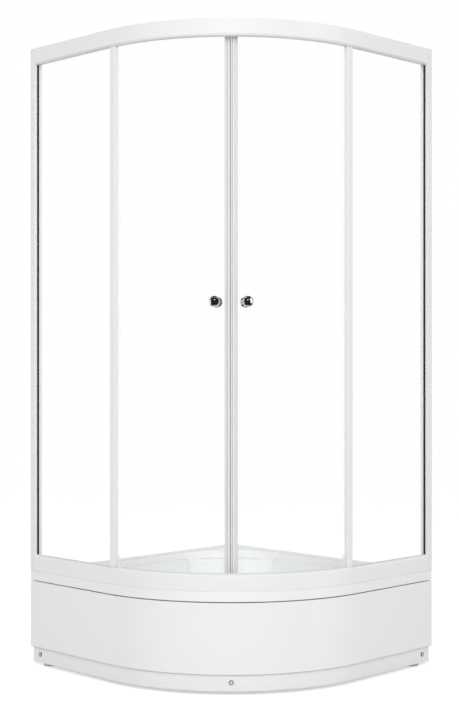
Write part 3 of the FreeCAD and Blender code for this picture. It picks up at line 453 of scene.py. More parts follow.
def pair(name, grids, *nodes, ring=False):
    """The same piece on both sides; each node's name gets its side."""
    for side in SIDES:
        skins = [skin(sided(grid, side), ring) for grid in grids]
        piece(f"{name}_{side}", skins, *[f"{node}_{side}" for node in nodes])


def bend_centre():
    """Centre of the bend in plan."""
    radius = settings("surround").front_radius
    return np.array((HALF - radius, radius - HALF))


def outward(turn):
    """Unit vectors in plan out of the bend, by the angle from its right-hand end: (cos, -sin)."""
    return np.stack([np.cos(turn), -np.sin(turn)], -1)


def door_radius():
    """Radius of the doors' middle surface."""
    surround = settings("surround")
    return surround.front_radius - surround.door_inset


def inner_seat(disc):
    """Distance from the bend's axis at which a flat disc rests inside a door: sqrt(hollow^2 - disc^2)."""
    hollow = door_radius() - settings("surround").glass / 2
    return math.sqrt(hollow ** 2 - disc ** 2)


def pane_groove(width):
    """Insets of the two sides of a groove round the fixed pane."""
    inset = settings("surround").pane_inset
    return inset - width / 2, inset + width / 2


def front_path(gap, steps=96):
    """Plan points of the outer face and inward normals: right straight, quarter bend, left straight."""
    normals = outward(np.linspace(0, QUARTER, steps))
    bend = bend_centre() + normals * settings("surround").front_radius
    right, left = np.array([[HALF, HALF - gap]]), np.array([[gap - HALF, -HALF]])
    return np.concatenate([right, bend, left]), -np.concatenate([normals[:1], normals, normals[-1:]])


def carried(outline, points, inward):
    """Section (inset, z) carried along a path: path point + inset * inward normal, at height z."""
    plan = points[:, None] + outline[None, :, :1] * inward[:, None]
    heights = np.broadcast_to(outline[None, :, 1:], plan.shape[:2] + (1,))
    return np.concatenate([plan, heights], 2)


def upright(plan, start, end):
    """Plan outline carried straight up between two heights."""
    rows = [np.concatenate([plan, np.full((len(plan), 1), z)], 1) for z in (start, end)]
    return np.stack(rows)


def on_side(outline):
    """Plan points of the right-hand side from (inset, run)."""
    return HALF - outline


def at_bend(outline, turn):
    """Plan points from (across, out) about a spot on the doors' middle surface; across is rightwards."""
    out = outward(turn)
    along = np.array((math.sin(turn), math.cos(turn)))
    return bend_centre() + out * door_radius() + outline[:, :1] * along + outline[:, 1:] * out


def square_to(axis):
    """Two unit vectors square to an axis and to each other; the first is level."""
    across = np.cross(axis, UP) if abs(axis[Z]) < abs(axis).max() else np.array((1.0, 0, 0))
    across /= np.linalg.norm(across)
    return across, np.cross(axis, across)


def turned(profile, origin, axis, sides=48):
    """Profile (along, radius) turned about an axis: origin + along * axis + radius * unit circle."""
    across, over = square_to(axis)
    turn = np.linspace(0, 2 * math.pi, sides, endpoint=False)[:, None]
    circle = np.cos(turn) * across + np.sin(turn) * over
    return np.array(origin) + profile[:, None, :1] * axis + profile[:, None, 1:] * circle


def box_outline(low_a, high_a, low_b, high_b, radius):
    """Corners of a rectangle, all rounded alike."""
    spots = (low_a, low_b), (high_a, low_b), (high_a, high_b), (low_a, high_b)
    return [(a, b, radius) for a, b in spots]


def with_mirror(half, axis, line=0.0):
    """Half an outline and its mirror image across a line; axis says which of (a, b) is turned round."""
    near = np.array(half, float)
    far = near[::-1].copy()
    far[:, axis] = 2 * line - far[:, axis]
    return np.concatenate([near, far])


# Finishes

def shared_group(name, inputs, outputs):
    """A shader node group with named sockets, new or as built before."""
    if name in bpy.data.node_groups:
        return bpy.data.node_groups[name], False
    group = bpy.data.node_groups.new(name, "ShaderNodeTree")
    for label, kind in inputs:
        group.interface.new_socket(label, in_out="INPUT", socket_type=kind)
    for label, kind in outputs:
        group.interface.new_socket(label, in_out="OUTPUT", socket_type=kind)
    return group, True


def add_node(tree, kind, **values):
    """A node with some of its properties set."""
    node = tree.nodes.new(kind)
    for name, value in values.items():
        setattr(node, name, value)
    return node


def join(tree, *links):
    """Links each output to its input."""
    for start, end in links:
        tree.links.new(start, end)


def set_inputs(node, **values):
    """Sets a node's sockets; an underscore stands for a space in a label."""
    for label, value in values.items():
        node.inputs[label.replace("_", " ")].default_value = value


def math_node(tree, operation, first, second):
    """A Math node on two sockets or numbers; gives its output."""
    node = add_node(tree, "ShaderNodeMath", operation=operation)
    for socket, value in zip(node.inputs, (first, second)):
        if isinstance(value, (int, float)):
            socket.default_value = value
        else:
            tree.links.new(value, socket)
    return node.outputs[0]


def seen_mask(tree):
    """One for what the camera sees straight, in mirrors or through glass, and zero for the rest."""
    path = add_node(tree, "ShaderNodeLightPath").outputs
    seen = math_node(tree, "MAXIMUM", path["Is Camera Ray"], path["Is Glossy Ray"])
    return math_node(tree, "MAXIMUM", seen, path["Is Transmission Ray"])


def new_material(name):
    """A material with nodes, its tree and its shader."""
    material = bpy.data.materials.new(name)
    material.use_nodes = True
    return material, material.node_tree, material.node_tree.nodes["Principled BSDF"]


FLOAT, COLOR, VECTOR = "NodeSocketFloat", "NodeSocketColor", "NodeSocketVector"
FINISH_NAME = "finish_"
# How the panes look in the viewport, the last number their opacity
PANE_DISPLAY = (0.9, 0.95, 0.95, 0.2)


def surface_group():
    """Group for every finish: colour mottled by broad noise, roughness spread, and fine relief.

    Colour out = colour * (1 + contrast * (noise - 0.5)); roughness out = roughness + spread * (noise -
    0.5); height is noise at the relief's scale."""
    group, fresh = shared_group(
        "Moulded surface",
        [("Vector", VECTOR), ("Color", COLOR), ("Contrast", FLOAT), ("Mottle Scale", FLOAT),
         ("Roughness", FLOAT), ("Spread", FLOAT), ("Relief Scale", FLOAT)],
        [("Color", COLOR), ("Roughness", FLOAT), ("Height", FLOAT)],
    )
    if not fresh:
        return group
    given = add_node(group, "NodeGroupInput").outputs
    out = add_node(group, "NodeGroupOutput").inputs
    mottle = add_node(group, "ShaderNodeTexNoise")
    relief = add_node(group, "ShaderNodeTexNoise")
    for noise, scale, detail in ((mottle, "Mottle Scale", 4.0), (relief, "Relief Scale", 2.0)):
        group.links.new(given["Vector"], noise.inputs["Vector"])
        group.links.new(given[scale], noise.inputs["Scale"])
        noise.inputs["Detail"].default_value = detail
    swing = math_node(group, "SUBTRACT", mottle.outputs["Fac"], 0.5)
    gain = math_node(group, "ADD", math_node(group, "MULTIPLY", swing, given["Contrast"]), 1.0)
    spread = math_node(group, "MULTIPLY", swing, given["Spread"])
    tint = add_node(group, "ShaderNodeVectorMath", operation="SCALE")
    join(
        group, (given["Color"], tint.inputs[0]), (gain, tint.inputs["Scale"]),
        (tint.outputs[0], out["Color"]), (relief.outputs["Fac"], out["Height"]),
        (math_node(group, "ADD", spread, given["Roughness"]), out["Roughness"]))
    return group


def surfaced(name, contrast, mottle, roughness, spread, grain, relief, metallic=0.0):
    """A material on Object coordinates with the shared surface group.

    Mottle and grain are the scales of the broad and the fine noise; relief is the bump's distance."""
    material, tree, shader = new_material(FINISH_NAME + name)
    tone = (*getattr(settings("finish"), name), 1.0)
    place = add_node(tree, "ShaderNodeTexCoord", name="place")
    surface = add_node(tree, "ShaderNodeGroup", node_tree=surface_group(), name="surface")
    set_inputs(
        surface, Color=tone, Contrast=contrast, Mottle_Scale=mottle, Roughness=roughness, Spread=spread,
        Relief_Scale=grain)
    bump = add_node(tree, "ShaderNodeBump")
    set_inputs(bump, Distance=relief)
    set_inputs(shader, Metallic=metallic)
    join(
        tree, (place.outputs["Object"], surface.inputs["Vector"]),
        (surface.outputs["Color"], shader.inputs["Base Color"]),
        (surface.outputs["Roughness"], shader.inputs["Roughness"]),
        (surface.outputs["Height"], bump.inputs["Height"]),
        (bump.outputs["Normal"], shader.inputs["Normal"]))
    material.diffuse_color = tone
    return material


def coated_white(name):
    """Powder coat: satin white with a fine orange-peel skin."""
    return surfaced(
        name, contrast=0.015, mottle=6.0, roughness=0.22, spread=0.05, grain=900.0, relief=0.00005)


def acrylic_white(name):
    """Cast acrylic: glossy white, a little uneven."""
    return surfaced(
        name, contrast=0.012, mottle=4.0, roughness=0.22, spread=0.05, grain=60.0, relief=0.00008)


def clear_glass(name):
    """Clear float glass that lets soft, mirrored and lamp light straight through."""
    material, tree, shader = new_material(FINISH_NAME + name)
    tone = (*settings("finish").clear_glass, 1.0)
    set_inputs(shader, Base_Color=tone, Roughness=0.0, IOR=1.12, Transmission_Weight=1.0)
    through = add_node(tree, "ShaderNodeBsdfTransparent")
    set_inputs(through, Color=tone)
    path = add_node(tree, "ShaderNodeLightPath").outputs
    mix = add_node(tree, "ShaderNodeMixShader")
    soft = math_node(tree, "MAXIMUM", path["Is Shadow Ray"], path["Is Diffuse Ray"])
    mirrored_ray = math_node(tree, "MULTIPLY", path["Is Glossy Ray"], path["Is Reflection Ray"])
    join(
        tree, (math_node(tree, "MAXIMUM", soft, mirrored_ray), mix.inputs["Fac"]),
        (shader.outputs["BSDF"], mix.inputs[1]), (through.outputs["BSDF"], mix.inputs[2]),
        (mix.outputs["Shader"], tree.nodes["Material Output"].inputs["Surface"]))
    material.diffuse_color = PANE_DISPLAY
    return material


def gasket_dark(name):
    """Matt black rubber."""
    return surfaced(
        name, contrast=0.25, mottle=40.0, roughness=0.62, spread=0.15, grain=1500.0, relief=0.00008)


def seal_clear(name):
    """Vinyl in stripes: pale beads, greyer clips, a darker line along the left clip, and painted shade for the
    dark lines of the grooves, darker on the left than on the right.

    A stripe's place is the distance from the middle plane, (x + y) / sqrt(2), left to right."""
    material = surfaced(
        name, contrast=0.03, mottle=10.0, roughness=0.32, spread=0.08, grain=300.0, relief=0.00004)
    tree = material.node_tree
    across = add_node(tree, "ShaderNodeVectorMath", operation="DOT_PRODUCT")
    across.inputs[1].default_value = (math.sqrt(0.5), math.sqrt(0.5), 0.0)
    seals, setback = settings("seals"), settings("surround").door_setback
    span = setback + seals.clip_reach
    spot = add_node(tree, "ShaderNodeMapRange")
    set_inputs(spot, From_Min=-span, From_Max=span)
    ramp = add_node(tree, "ShaderNodeValToRGB")
    ramp.color_ramp.interpolation = "CONSTANT"
    colours = settings("finish")
    tone, clip, line = colours.seal_clear, colours.seal_clip, colours.seal_line
    # Painted shade: the dark stripe on the left and the grey band on the right stand for the grooves' dark lines.
    stripes = [
        (-span, clip), (-seals.bead_edge - seals.clip_line, line), (-seals.bead_edge, tone),
        (-seals.stripe_end, colours.seal_magnet), (-seals.stripe_start, tone), (seals.vein_start, line),
        (seals.vein_end, tone), (seals.bead_edge, clip),
    ]
    stops = ramp.color_ramp.elements
    for n, (start, shade) in enumerate(stripes):
        stop = stops[n] if n < len(stops) else stops.new(1.0)
        stop.position, stop.color = (start + span) / (2 * span), (*shade, 1.0)
    join(
        tree, (tree.nodes["place"].outputs["Object"], across.inputs[0]),
        (across.outputs["Value"], spot.inputs["Value"]), (spot.outputs["Result"], ramp.inputs["Fac"]),
        (ramp.outputs["Color"], tree.nodes["surface"].inputs["Color"]))
    return material


def edge_vinyl(name):
    """Clear flexible vinyl."""
    material = surfaced(
        name, contrast=0.02, mottle=12.0, roughness=0.06, spread=0.04, grain=200.0, relief=0.00001)
    set_inputs(material.node_tree.nodes["Principled BSDF"], Transmission_Weight=1.0, IOR=1.05)
    return material


def magnet_grey(name):
    """Flexible magnet: dark, matt, faintly grainy."""
    return surfaced(
        name, contrast=0.30, mottle=120.0, roughness=0.55, spread=0.15, grain=2000.0, relief=0.00005)


def knob_chrome(name):
    """Polished chrome with faint smudges."""
    return surfaced(
        name, contrast=0.03, mottle=70.0, roughness=0.06, spread=0.06, grain=500.0, relief=0.000004,
        metallic=1.0)


def drain_satin(name):
    """Satin plating, which scatters about half of its light."""
    return surfaced(
        name, contrast=0.06, mottle=90.0, roughness=0.32, spread=0.08, grain=900.0, relief=0.00001,
        metallic=0.45)


def washer_soft(name):
    """Soft milky plastic."""
    return surfaced(
        name, contrast=0.05, mottle=80.0, roughness=0.45, spread=0.1, grain=900.0, relief=0.00003)


def bright_steel(name):
    """Zinc-plated steel, bright with cloudy patches."""
    return surfaced(
        name, contrast=0.20, mottle=90.0, roughness=0.28, spread=0.20, grain=1200.0, relief=0.00003,
        metallic=1.0)


def frame_steel(name):
    """Galvanised steel with a cloudy grey bloom."""
    return surfaced(
        name, contrast=0.55, mottle=55.0, roughness=0.42, spread=0.25, grain=400.0, relief=0.0001,
        metallic=0.85)


def foot_plastic(name):
    """Grey moulded plastic with a spark-eroded texture."""
    return surfaced(
        name, contrast=0.35, mottle=60.0, roughness=0.50, spread=0.20, grain=1800.0, relief=0.0001)


def wheel_nylon(name):
    """Natural nylon."""
    return surfaced(
        name, contrast=0.06, mottle=90.0, roughness=0.38, spread=0.12, grain=900.0, relief=0.00004)


def base_board(name):
    """Chipboard: flakes of uneven tone."""
    material = surfaced(
        name, contrast=0.30, mottle=20.0, roughness=0.75, spread=0.15, grain=350.0, relief=0.0003)
    tree = material.node_tree
    flakes = add_node(tree, "ShaderNodeTexVoronoi")
    set_inputs(flakes, Scale=140.0)
    tone = add_node(tree, "ShaderNodeMix", data_type="RGBA", blend_type="SOFT_LIGHT")
    set_inputs(tone, Factor=0.7)
    join(
        tree, (tree.nodes["place"].outputs["Object"], flakes.inputs["Vector"]),
        (tree.nodes["surface"].outputs["Color"], tone.inputs["A"]),
        (flakes.outputs["Color"], tone.inputs["B"]),
        (tone.outputs["Result"], tree.nodes["Principled BSDF"].inputs["Base Color"]))
    return material


def trap_plastic(name):
    """White polypropylene."""
    return surfaced(
        name, contrast=0.05, mottle=30.0, roughness=0.40, spread=0.12, grain=700.0, relief=0.00008)


def connector_plastic(name):
    """Dark grey moulded plastic."""
    return surfaced(
        name, contrast=0.20, mottle=60.0, roughness=0.50, spread=0.15, grain=1500.0, relief=0.0001)


FINISHES = {
    made.__name__: made for made in (
        coated_white, acrylic_white, clear_glass, gasket_dark, seal_clear, edge_vinyl, magnet_grey,
        knob_chrome, drain_satin, washer_soft, bright_steel, frame_steel, foot_plastic, wheel_nylon,
        base_board, trap_plastic, connector_plastic,
    )
}


def finish(name):
    """A finish by its name, built the first time it is asked for."""
    return bpy.data.materials.get(FINISH_NAME + name) or FINISHES[name](name)


# Tray and apron

# Rows of the tray's skin round a cove or mouth, round a small edge, and over the floor
COVE_ROWS, EDGE_ROWS, FLOOR_ROWS = 8, 6, 6


def quadrant(back, front, corner, back_corner, steps=72):
    """Plan outline inset from the walls and from the front: straight runs joined by tangent arcs."""
    radius = settings("surround").front_radius
    return rounded([
        (HALF - front, HALF - back, corner),
        (HALF - front, front - HALF, radius - front),
        (back - HALF, front - HALF, corner),
        (back - HALF, HALF - back, back_corner),
    ], steps, eased=True)


def basin(z, outset):
    """Plan outline of the basin at a height; its walls lean in evenly down to the floor."""
    tray = settings("tray")
    lean = tray.lean * (TRAY_TOP - z) / tray.depth - outset
    return quadrant(
        tray.rim_back + lean, tray.rim_front + lean, tray.corner - lean, tray.back_corner - lean)


def held_back(plan, reach):
    """Shift along the diagonal that keeps points beyond a plane square to it.

    With v the distance from the room's corner, v' = (v + reach + sqrt((v - reach)^2 + blend^2)) / 2. A
    bead inside the plane's end and a seam outside it are bell curves: depth * exp(-(distance / width)^2),
    where the distance is counted from one width away."""
    tray = settings("tray")
    within = reach - (plan - np.array((-HALF, HALF))) @ DIAGONAL
    bead = np.exp(-(within / tray.ledge_seam_width - 1) ** 2)
    seam = np.exp(-(within / tray.ledge_seam_width + 1) ** 2)
    return (within + np.hypot(within, tray.ledge_blend)) / 2 + tray.ledge_seam * (bead - seam)


def level(plan, z):
    """Plan points at a height, or at a height each."""
    return np.concatenate([plan, np.broadcast_to(z, len(plan))[:, None]], 1)


def bowl_rows(outset):
    """Rows of the basin's skin from the floor to just under its mouth, moved out by an outset.

    The floor meets the walls in a hollow cove, and the corner ledge is a flat between a rounded edge and
    a hollow cove: its rows are the walls' rows pushed along the diagonal by shares of held_back."""
    tray = settings("tray")
    floor = TRAY_TOP - tray.depth + tray.floor_fall - outset
    ledge = TRAY_TOP - tray.ledge_drop - outset
    reach = tray.ledge_reach - outset
    rows = []
    for turn in np.linspace(QUARTER, 0, COVE_ROWS):
        inset = tray.floor_cove * (1 - math.cos(turn))
        z = floor + tray.floor_cove * (1 - math.sin(turn))
        plan = basin(z, outset - inset)
        rows.append(level(plan + held_back(plan, reach + inset)[:, None] * DIAGONAL, z))
    steps = [(turn, behind) for behind in (False, True) for turn in np.linspace(0, QUARTER, EDGE_ROWS)]
    spread = np.linspace(-tray.ledge_round, tray.ledge_cove, len(steps))
    for (turn, behind), offset in zip(steps, spread):
        plan = basin(ledge + offset, outset)
        push = held_back(plan, reach)
        grip = np.clip(push / tray.ledge_grip, 0, 1)
        if behind:
            along = grip * tray.ledge_cove * (1 - math.sin(turn))
            rise = tray.ledge_cove * (1 - math.cos(turn))
        else:
            along = push - grip * tray.ledge_round * (1 - math.cos(turn))
            rise = -tray.ledge_round * (1 - math.sin(turn))
        rows.append(level(plan + along[:, None] * DIAGONAL, ledge + grip * rise + (1 - grip) * offset))
    return rows


def tray_rows():
    """Rows of the tray's closed skin: drain hole, floor, walls, mouth, rim, turned-down edge, underside."""
    tray = settings("tray")
    spot = middle("drain_flange")[:2]
    floor = TRAY_TOP - tray.depth
    top_side = bowl_rows(0)
    under_side = bowl_rows(tray.wall)

    def floor_rows(edge, centre_height, shares):
        """Rows between the drain's hole and the cove, straight towards each point of the cove."""
        ray = edge[:, :2] - spot
        hole = spot + ray / np.linalg.norm(ray, axis=1, keepdims=True) * tray.hole
        heights = [centre_height + (edge[0, Z] - centre_height) * s for s in shares]
        return [level(hole + (edge[:, :2] - hole) * s, z) for s, z in zip(shares, heights)]

    crowding = 1.5
    shares = np.linspace(0, 1, FLOOR_ROWS)[:-1] ** crowding
    rows = floor_rows(top_side[0], floor, shares) + top_side
    for turn in np.linspace(QUARTER, 0, COVE_ROWS):
        z = TRAY_TOP - tray.lip_round * (1 - math.cos(turn))
        rows.append(level(basin(z, tray.lip_round * (1 - math.sin(turn))), z))
    corner = tray.outer_corner
    for turn in np.linspace(0, QUARTER, EDGE_ROWS):
        inset = tray.rim_round * (1 - math.sin(turn))
        z = TRAY_TOP - tray.rim_round * (1 - math.cos(turn))
        rows.append(level(quadrant(inset, inset, corner, corner), z))
    foot, under = TRAY_TOP - tray.rim_edge, TRAY_TOP - tray.wall
    for inset, z in ((0, foot + EDGE), (EDGE, foot), (tray.wall, foot), (tray.wall, under)):
        rows.append(level(quadrant(inset, inset, corner, corner), z))
    rows.append(level(basin(under, tray.wall), under))
    rows += under_side[::-1]
    rows += floor_rows(under_side[0], floor - tray.wall, shares)[::-1]
    return np.stack(rows)


class SHOWER_OT_tray(bpy.types.Operator):
    """Makes the acrylic tray as one closed skin."""

    bl_idname = "shower.make_tray"
    bl_label = "Tray"

    def execute(self, context):
        piece("tray", [skin(tray_rows(), ring=True)], "tray_shell", crease=40)
        return {"FINISHED"}


class SHOWER_OT_apron(bpy.types.Operator):
    """Makes the apron with its flange, step and kick strip."""

    bl_idname = "shower.make_apron"
    bl_label = "Apron"

    def execute(self, context):
        tray = settings("tray")
        top, foot = high("apron_panel", Z), low("apron_panel", Z)
        wall, step, kick = tray.apron_wall, tray.apron_foot, tray.kick_recess
        gap, groove = tray.kick_gap, kick + tray.kick_groove
        outline = rounded([
            (0, top, tray.apron_round), (tray.apron_flange, top, EDGE),
            (tray.apron_flange, top - wall, EDGE), (wall, top - wall, EDGE),
            (wall, step + wall, EDGE), (kick + wall, step + wall, EDGE),
            (kick + wall, foot, EDGE), (kick, foot, EDGE), (kick, step - gap, EDGE / 2),
            (groove, step - gap, EDGE / 2), (groove, step, EDGE / 2), (0, step, tray.apron_round),
        ])
        piece("apron", [skin(carried(outline, *front_path(tray.apron_gap)))], "apron_panel")
        return {"FINISHED"}


# Surround

def rail_outline(edge, direction):
    """Section of a rail; heights are counted from the edge that faces the opening."""
    surround = settings("surround")
    groove_outer, groove_inner = pane_groove(surround.groove_width)
    lip_start = groove_inner + surround.rail_web
    lip_top = surround.groove_depth + surround.lip_thickness
    rib_top = lip_top + surround.lip_rib
    rib_start = surround.lip_end - surround.rail_web
    cover = RAIL_HEIGHT - surround.rail_face
    corners = [
        (0, 0, surround.rail_round), (groove_outer, 0, EDGE), (groove_outer, surround.groove_depth, EDGE),
        (groove_inner, surround.groove_depth, EDGE), (groove_inner, 0, EDGE), (lip_start, 0, EDGE),
        (lip_start, surround.groove_depth, EDGE), (surround.lip_end, surround.groove_depth, EDGE),
        (surround.lip_end, rib_top, EDGE), (rib_start, rib_top, EDGE), (rib_start, lip_top, EDGE),
        (lip_start, lip_top, EDGE), (lip_start, cover, EDGE), (surround.rail_depth, cover, EDGE),
        (surround.rail_depth, RAIL_HEIGHT, EDGE), (0, RAIL_HEIGHT, EDGE),
    ]
    placed = [(inset, edge + direction * height, radius) for inset, height, radius in corners]
    return rounded(placed, steps=7)


class SHOWER_OT_rails(bpy.types.Operator):
    """Makes the curved rails over and under the opening."""

    bl_idname = "shower.make_rails"
    bl_label = "Rails"

    def execute(self, context):
        path = front_path(settings("surround").stile_reach)
        for name, edge, direction in (("top_rail", OPEN_HIGH, 1), ("bottom_rail", OPEN_LOW, -1)):
            piece(f"{name}_profile", [skin(carried(rail_outline(edge, direction), *path))], name)
        return {"FINISHED"}


class SHOWER_OT_uprights(bpy.types.Operator):
    """Makes the stiles, the posts and the gaskets beside the fixed panes."""

    bl_idname = "shower.make_uprights"
    bl_label = "Uprights"

    def execute(self, context):
        surround = settings("surround")
        self.make_stiles(surround)
        self.make_posts(surround)
        self.make_gaskets(surround)
        return {"FINISHED"}

    def make_stiles(self, surround):
        """Comb-shaped section: pocket for the pane between two cavities open to the wall."""
        outer, inner, wall = surround.stile_outer, surround.stile_inner, surround.stile_wall
        pocket_low, pocket_high = pane_groove(surround.pocket_width)
        back, front = surround.stile_gap, surround.stile_reach
        bottom = front - surround.pocket_depth
        points = [
            (outer, back), (outer, front), (pocket_low, front), (pocket_low, bottom), (pocket_high, bottom),
            (pocket_high, front), (inner, front), (inner, back), (inner - wall, back),
            (inner - wall, front - wall), (pocket_high + wall, front - wall), (pocket_high + wall, back),
            (pocket_high, back), (pocket_high, bottom - wall), (pocket_low, bottom - wall),
            (pocket_low, back), (pocket_low - wall, back), (pocket_low - wall, front - wall),
            (outer + wall, front - wall), (outer + wall, back),
        ]
        plan = on_side(rounded([(a, b, EDGE) for a, b in points]))
        pair("stile_section", [upright(plan, TRAY_TOP, TOTAL)], "stile")

    def make_posts(self, surround):
        """Rounded section with a pocket for the pane's free edge."""
        start = 2 * HALF - surround.front_radius + surround.post_past_bend
        end, near = start + surround.post_width, surround.post_inset
        far = near + surround.post_depth
        groove_outer, groove_inner = pane_groove(surround.groove_width)
        bottom = start + surround.post_pocket
        corner = surround.post_round
        plan = on_side(rounded([
            (near, start, corner), (groove_outer, start, EDGE), (groove_outer, bottom, EDGE),
            (groove_inner, bottom, EDGE), (groove_inner, start, EDGE), (far, start, corner),
            (far, end, corner), (near, end, corner),
        ]))
        pair("post_section", [upright(plan, OPEN_LOW, OPEN_HIGH)], "post")

    def make_gaskets(self, surround):
        """Channel round the pane's edge with a rounded lip on each face beside the stile."""
        back = surround.stile_reach - surround.pocket_depth + surround.gasket_slack
        lip = surround.stile_reach + surround.gasket_slack
        tip = lip + surround.gasket_lip
        pane = surround.pane_inset
        outside = pane + surround.pocket_width / 2 - surround.gasket_slack
        bore = outside - surround.gasket_wall
        wide = bore + surround.gasket_lip_width
        half_outline = [
            (outside, back, EDGE), (outside, lip, EDGE / 2), (wide, lip, EDGE / 2), (wide, tip, EDGE / 2),
            (bore, tip, EDGE / 2), (bore, back + surround.gasket_wall, EDGE / 2),
        ]
        plan = on_side(rounded(with_mirror(half_outline, 0, pane)))
        pair("gasket_strip", [upright(plan, OPEN_LOW, OPEN_HIGH)], "glass_gasket")


class SHOWER_OT_glass(bpy.types.Operator):
    """Makes the fixed panes and the curved doors, with ground edges."""

    bl_idname = "shower.make_glass"
    bl_label = "Glass"

    def execute(self, context):
        surround = settings("surround")
        (x0, y0, z0), (x1, y1, z1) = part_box("fixed_glass_right")
        plan = rounded(box_outline(x0, x1, y0, y1, surround.arris), steps=3)
        pair("fixed_pane", [upright(plan, z0, z1)], "fixed_glass")
        radius, half_glass = door_radius(), surround.glass / 2
        trail = BISECTOR - math.asin(surround.door_setback / radius)
        columns = 64
        normals = outward(np.linspace(surround.door_lead, trail, columns))
        outline = rounded(box_outline(
            -half_glass, half_glass, low("door_glass_right", Z), high("door_glass_right", Z),
            surround.arris), steps=3)
        pair("door_pane", [carried(outline, bend_centre() + normals * radius, -normals)], "door_glass")
        return {"FINISHED"}


class SHOWER_OT_seals(bpy.types.Operator):
    """Makes the beaded meeting seals and the doors' edge seals."""

    bl_idname = "shower.make_seals"
    bl_label = "Seals"

    def execute(self, context):
        seals = settings("seals")
        setback = settings("surround").door_setback
        start, end = low("magnet_profile_right", Z), high("magnet_profile_right", Z)
        slot, arm = seals.clip_slot, seals.clip_slot + seals.clip_arm
        dip = seals.half_depth - seals.groove
        half_outline = [
            (seals.meeting_gap, seals.half_depth, seals.bead),
            (seals.groove_start, seals.half_depth, EDGE), (seals.groove_start + EDGE, dip, EDGE / 2),
            (seals.groove_end - EDGE, dip, EDGE / 2), (seals.groove_end, seals.half_depth, EDGE),
            (seals.head, seals.half_depth, seals.bead / 2),
            (seals.head + seals.taper, arm, EDGE), (setback + seals.clip_reach, arm, EDGE),
            (setback + seals.clip_reach, slot, EDGE), (setback, slot, EDGE),
        ]
        profile = at_bend(rounded(with_mirror(half_outline, 1), steps=4), BISECTOR)
        pair("meeting_seal", [upright(profile, start, end)], "magnet_profile")
        self.make_edge_seals(seals)
        return {"FINISHED"}

    def make_edge_seals(self, seals):
        """Clip on the door's hidden edge with a fin towards the post."""
        slot, arm = seals.clip_slot, seals.clip_slot + seals.clip_arm
        near, far = -seals.fin_setback, -seals.fin_setback - seals.fin
        points = [
            (seals.back, -arm), (seals.back, arm), (near, arm), (near, seals.fin_tip), (far, seals.fin_tip),
            (far, arm), (-seals.reach, arm), (-seals.reach, slot), (EDGE, slot), (EDGE, -slot),
            (-seals.reach, -slot), (-seals.reach, -arm),
        ]
        outline = rounded([(a, b, EDGE) for a, b in points], steps=4)
        plan = at_bend(outline, settings("surround").door_lead)
        heights = low("edge_seal_right", Z), high("edge_seal_right", Z)
        pair("edge_strip", [upright(plan, *heights)], "edge_seal")


# Fittings

def knob_profile():
    """Rose, necked stem and ball: (along, radius) from the washer's face to the front of the ball.

    The ball is radius * (1 - cos t, sin t) from the circle where the neck meets it."""
    fittings = settings("fittings")
    rose, neck, ball = fittings.knob_rose_height, fittings.knob_neck, fittings.knob_ball
    centre = rose + fittings.knob_neck_length + ball
    meet = math.asin(neck / ball)
    base = rounded([
        (0, AXIS_DOT, 0), (0, fittings.knob_rose, EDGE), (rose, fittings.knob_rose, EDGE * 2),
        (rose, neck, EDGE * 3), (centre - ball * math.cos(meet), neck, 0),
    ], steps=6, closed=False)
    ball_rows = 40
    turn = np.linspace(meet, math.pi - AXIS_DOT / ball, ball_rows)[1:]
    return np.concatenate([base, np.stack([centre - ball * np.cos(turn), ball * np.sin(turn)], 1)])


class SHOWER_OT_knobs(bpy.types.Operator):
    """Makes the turned knobs outside and inside each door, with their soft washers."""

    bl_idname = "shower.make_knobs"
    bl_label = "Knobs"

    def execute(self, context):
        fittings, surround = settings("fittings"), settings("surround")
        radius, washer = door_radius(), fittings.knob_washer_height
        out = np.append(outward(BISECTOR - math.asin(fittings.knob_from_middle / radius)), 0.0)
        axis_foot = np.append(bend_centre(), fittings.knob_height)
        outer_face, inner_face = radius + surround.glass / 2, inner_seat(fittings.knob_washer)
        profile = knob_profile()
        ring = rounded(box_outline(0, washer, fittings.axle, fittings.knob_washer, EDGE / 2), steps=4)
        rings = []
        for name, face, axis in (("outer", outer_face, out), ("inner", inner_face, -out)):
            seat = axis_foot + out * face
            knob = turned(profile, seat + axis * washer, axis, sides=64)
            pair(f"knob_turned_{name}", [knob], f"knob_{name}")
            rings.append(turned(ring, seat, axis))
        pair("knob_rings", rings, "knob_washers", ring=True)
        return {"FINISHED"}


def cross_head(origin, axis, radius, height, sides=64):
    """Domed screw head with a cross recess.

    Height over a point at r of the radius is height * (edge + (1 - edge) * sqrt(1 - r^2)), less the
    recess: the larger of two bars, each the product of clipped ramps across and along it."""
    edge_share, recess_share, rows = 0.55, 0.6, 28
    bar_half, bar_reach, ramp = 0.14, 0.62, 0.10
    r = np.linspace(AXIS_DOT, 1, rows)[:, None]
    t = np.linspace(0, 2 * math.pi, sides, endpoint=False)[None]
    a, b = np.abs(r * np.cos(t)), np.abs(r * np.sin(t))
    bars = [
        np.clip((bar_half - p) / ramp + 0.5, 0, 1) * np.clip((bar_reach - q) / ramp + 0.5, 0, 1)
        for p, q in ((a, b), (b, a))
    ]
    crown = edge_share + (1 - edge_share) * np.sqrt(1 - r ** 2) - recess_share * np.maximum(*bars)
    heights = np.concatenate([height * crown, np.zeros((2, sides))])
    reach = np.concatenate([r * radius, [[radius]], [[AXIS_DOT]]])
    across, over = square_to(axis)
    ring = np.cos(t)[..., None] * across + np.sin(t)[..., None] * over
    return origin + heights[..., None] * axis + reach[..., None] * ring


def apron_screw_places():
    """Spots on the kick strip's face and outward directions of the three screws."""
    fittings, tray = settings("fittings"), settings("tray")
    z = fittings.screw_height
    right = np.array((HALF - tray.kick_recess, HALF - fittings.screw_from_wall, z))
    reach = settings("surround").front_radius - tray.kick_recess
    front = np.append(bend_centre() + DIAGONAL * reach, z)
    out = np.array((1.0, 0.0, 0.0))
    return [(right, out), (mirrored(right), mirrored(out)), (front, np.append(DIAGONAL, 0))]


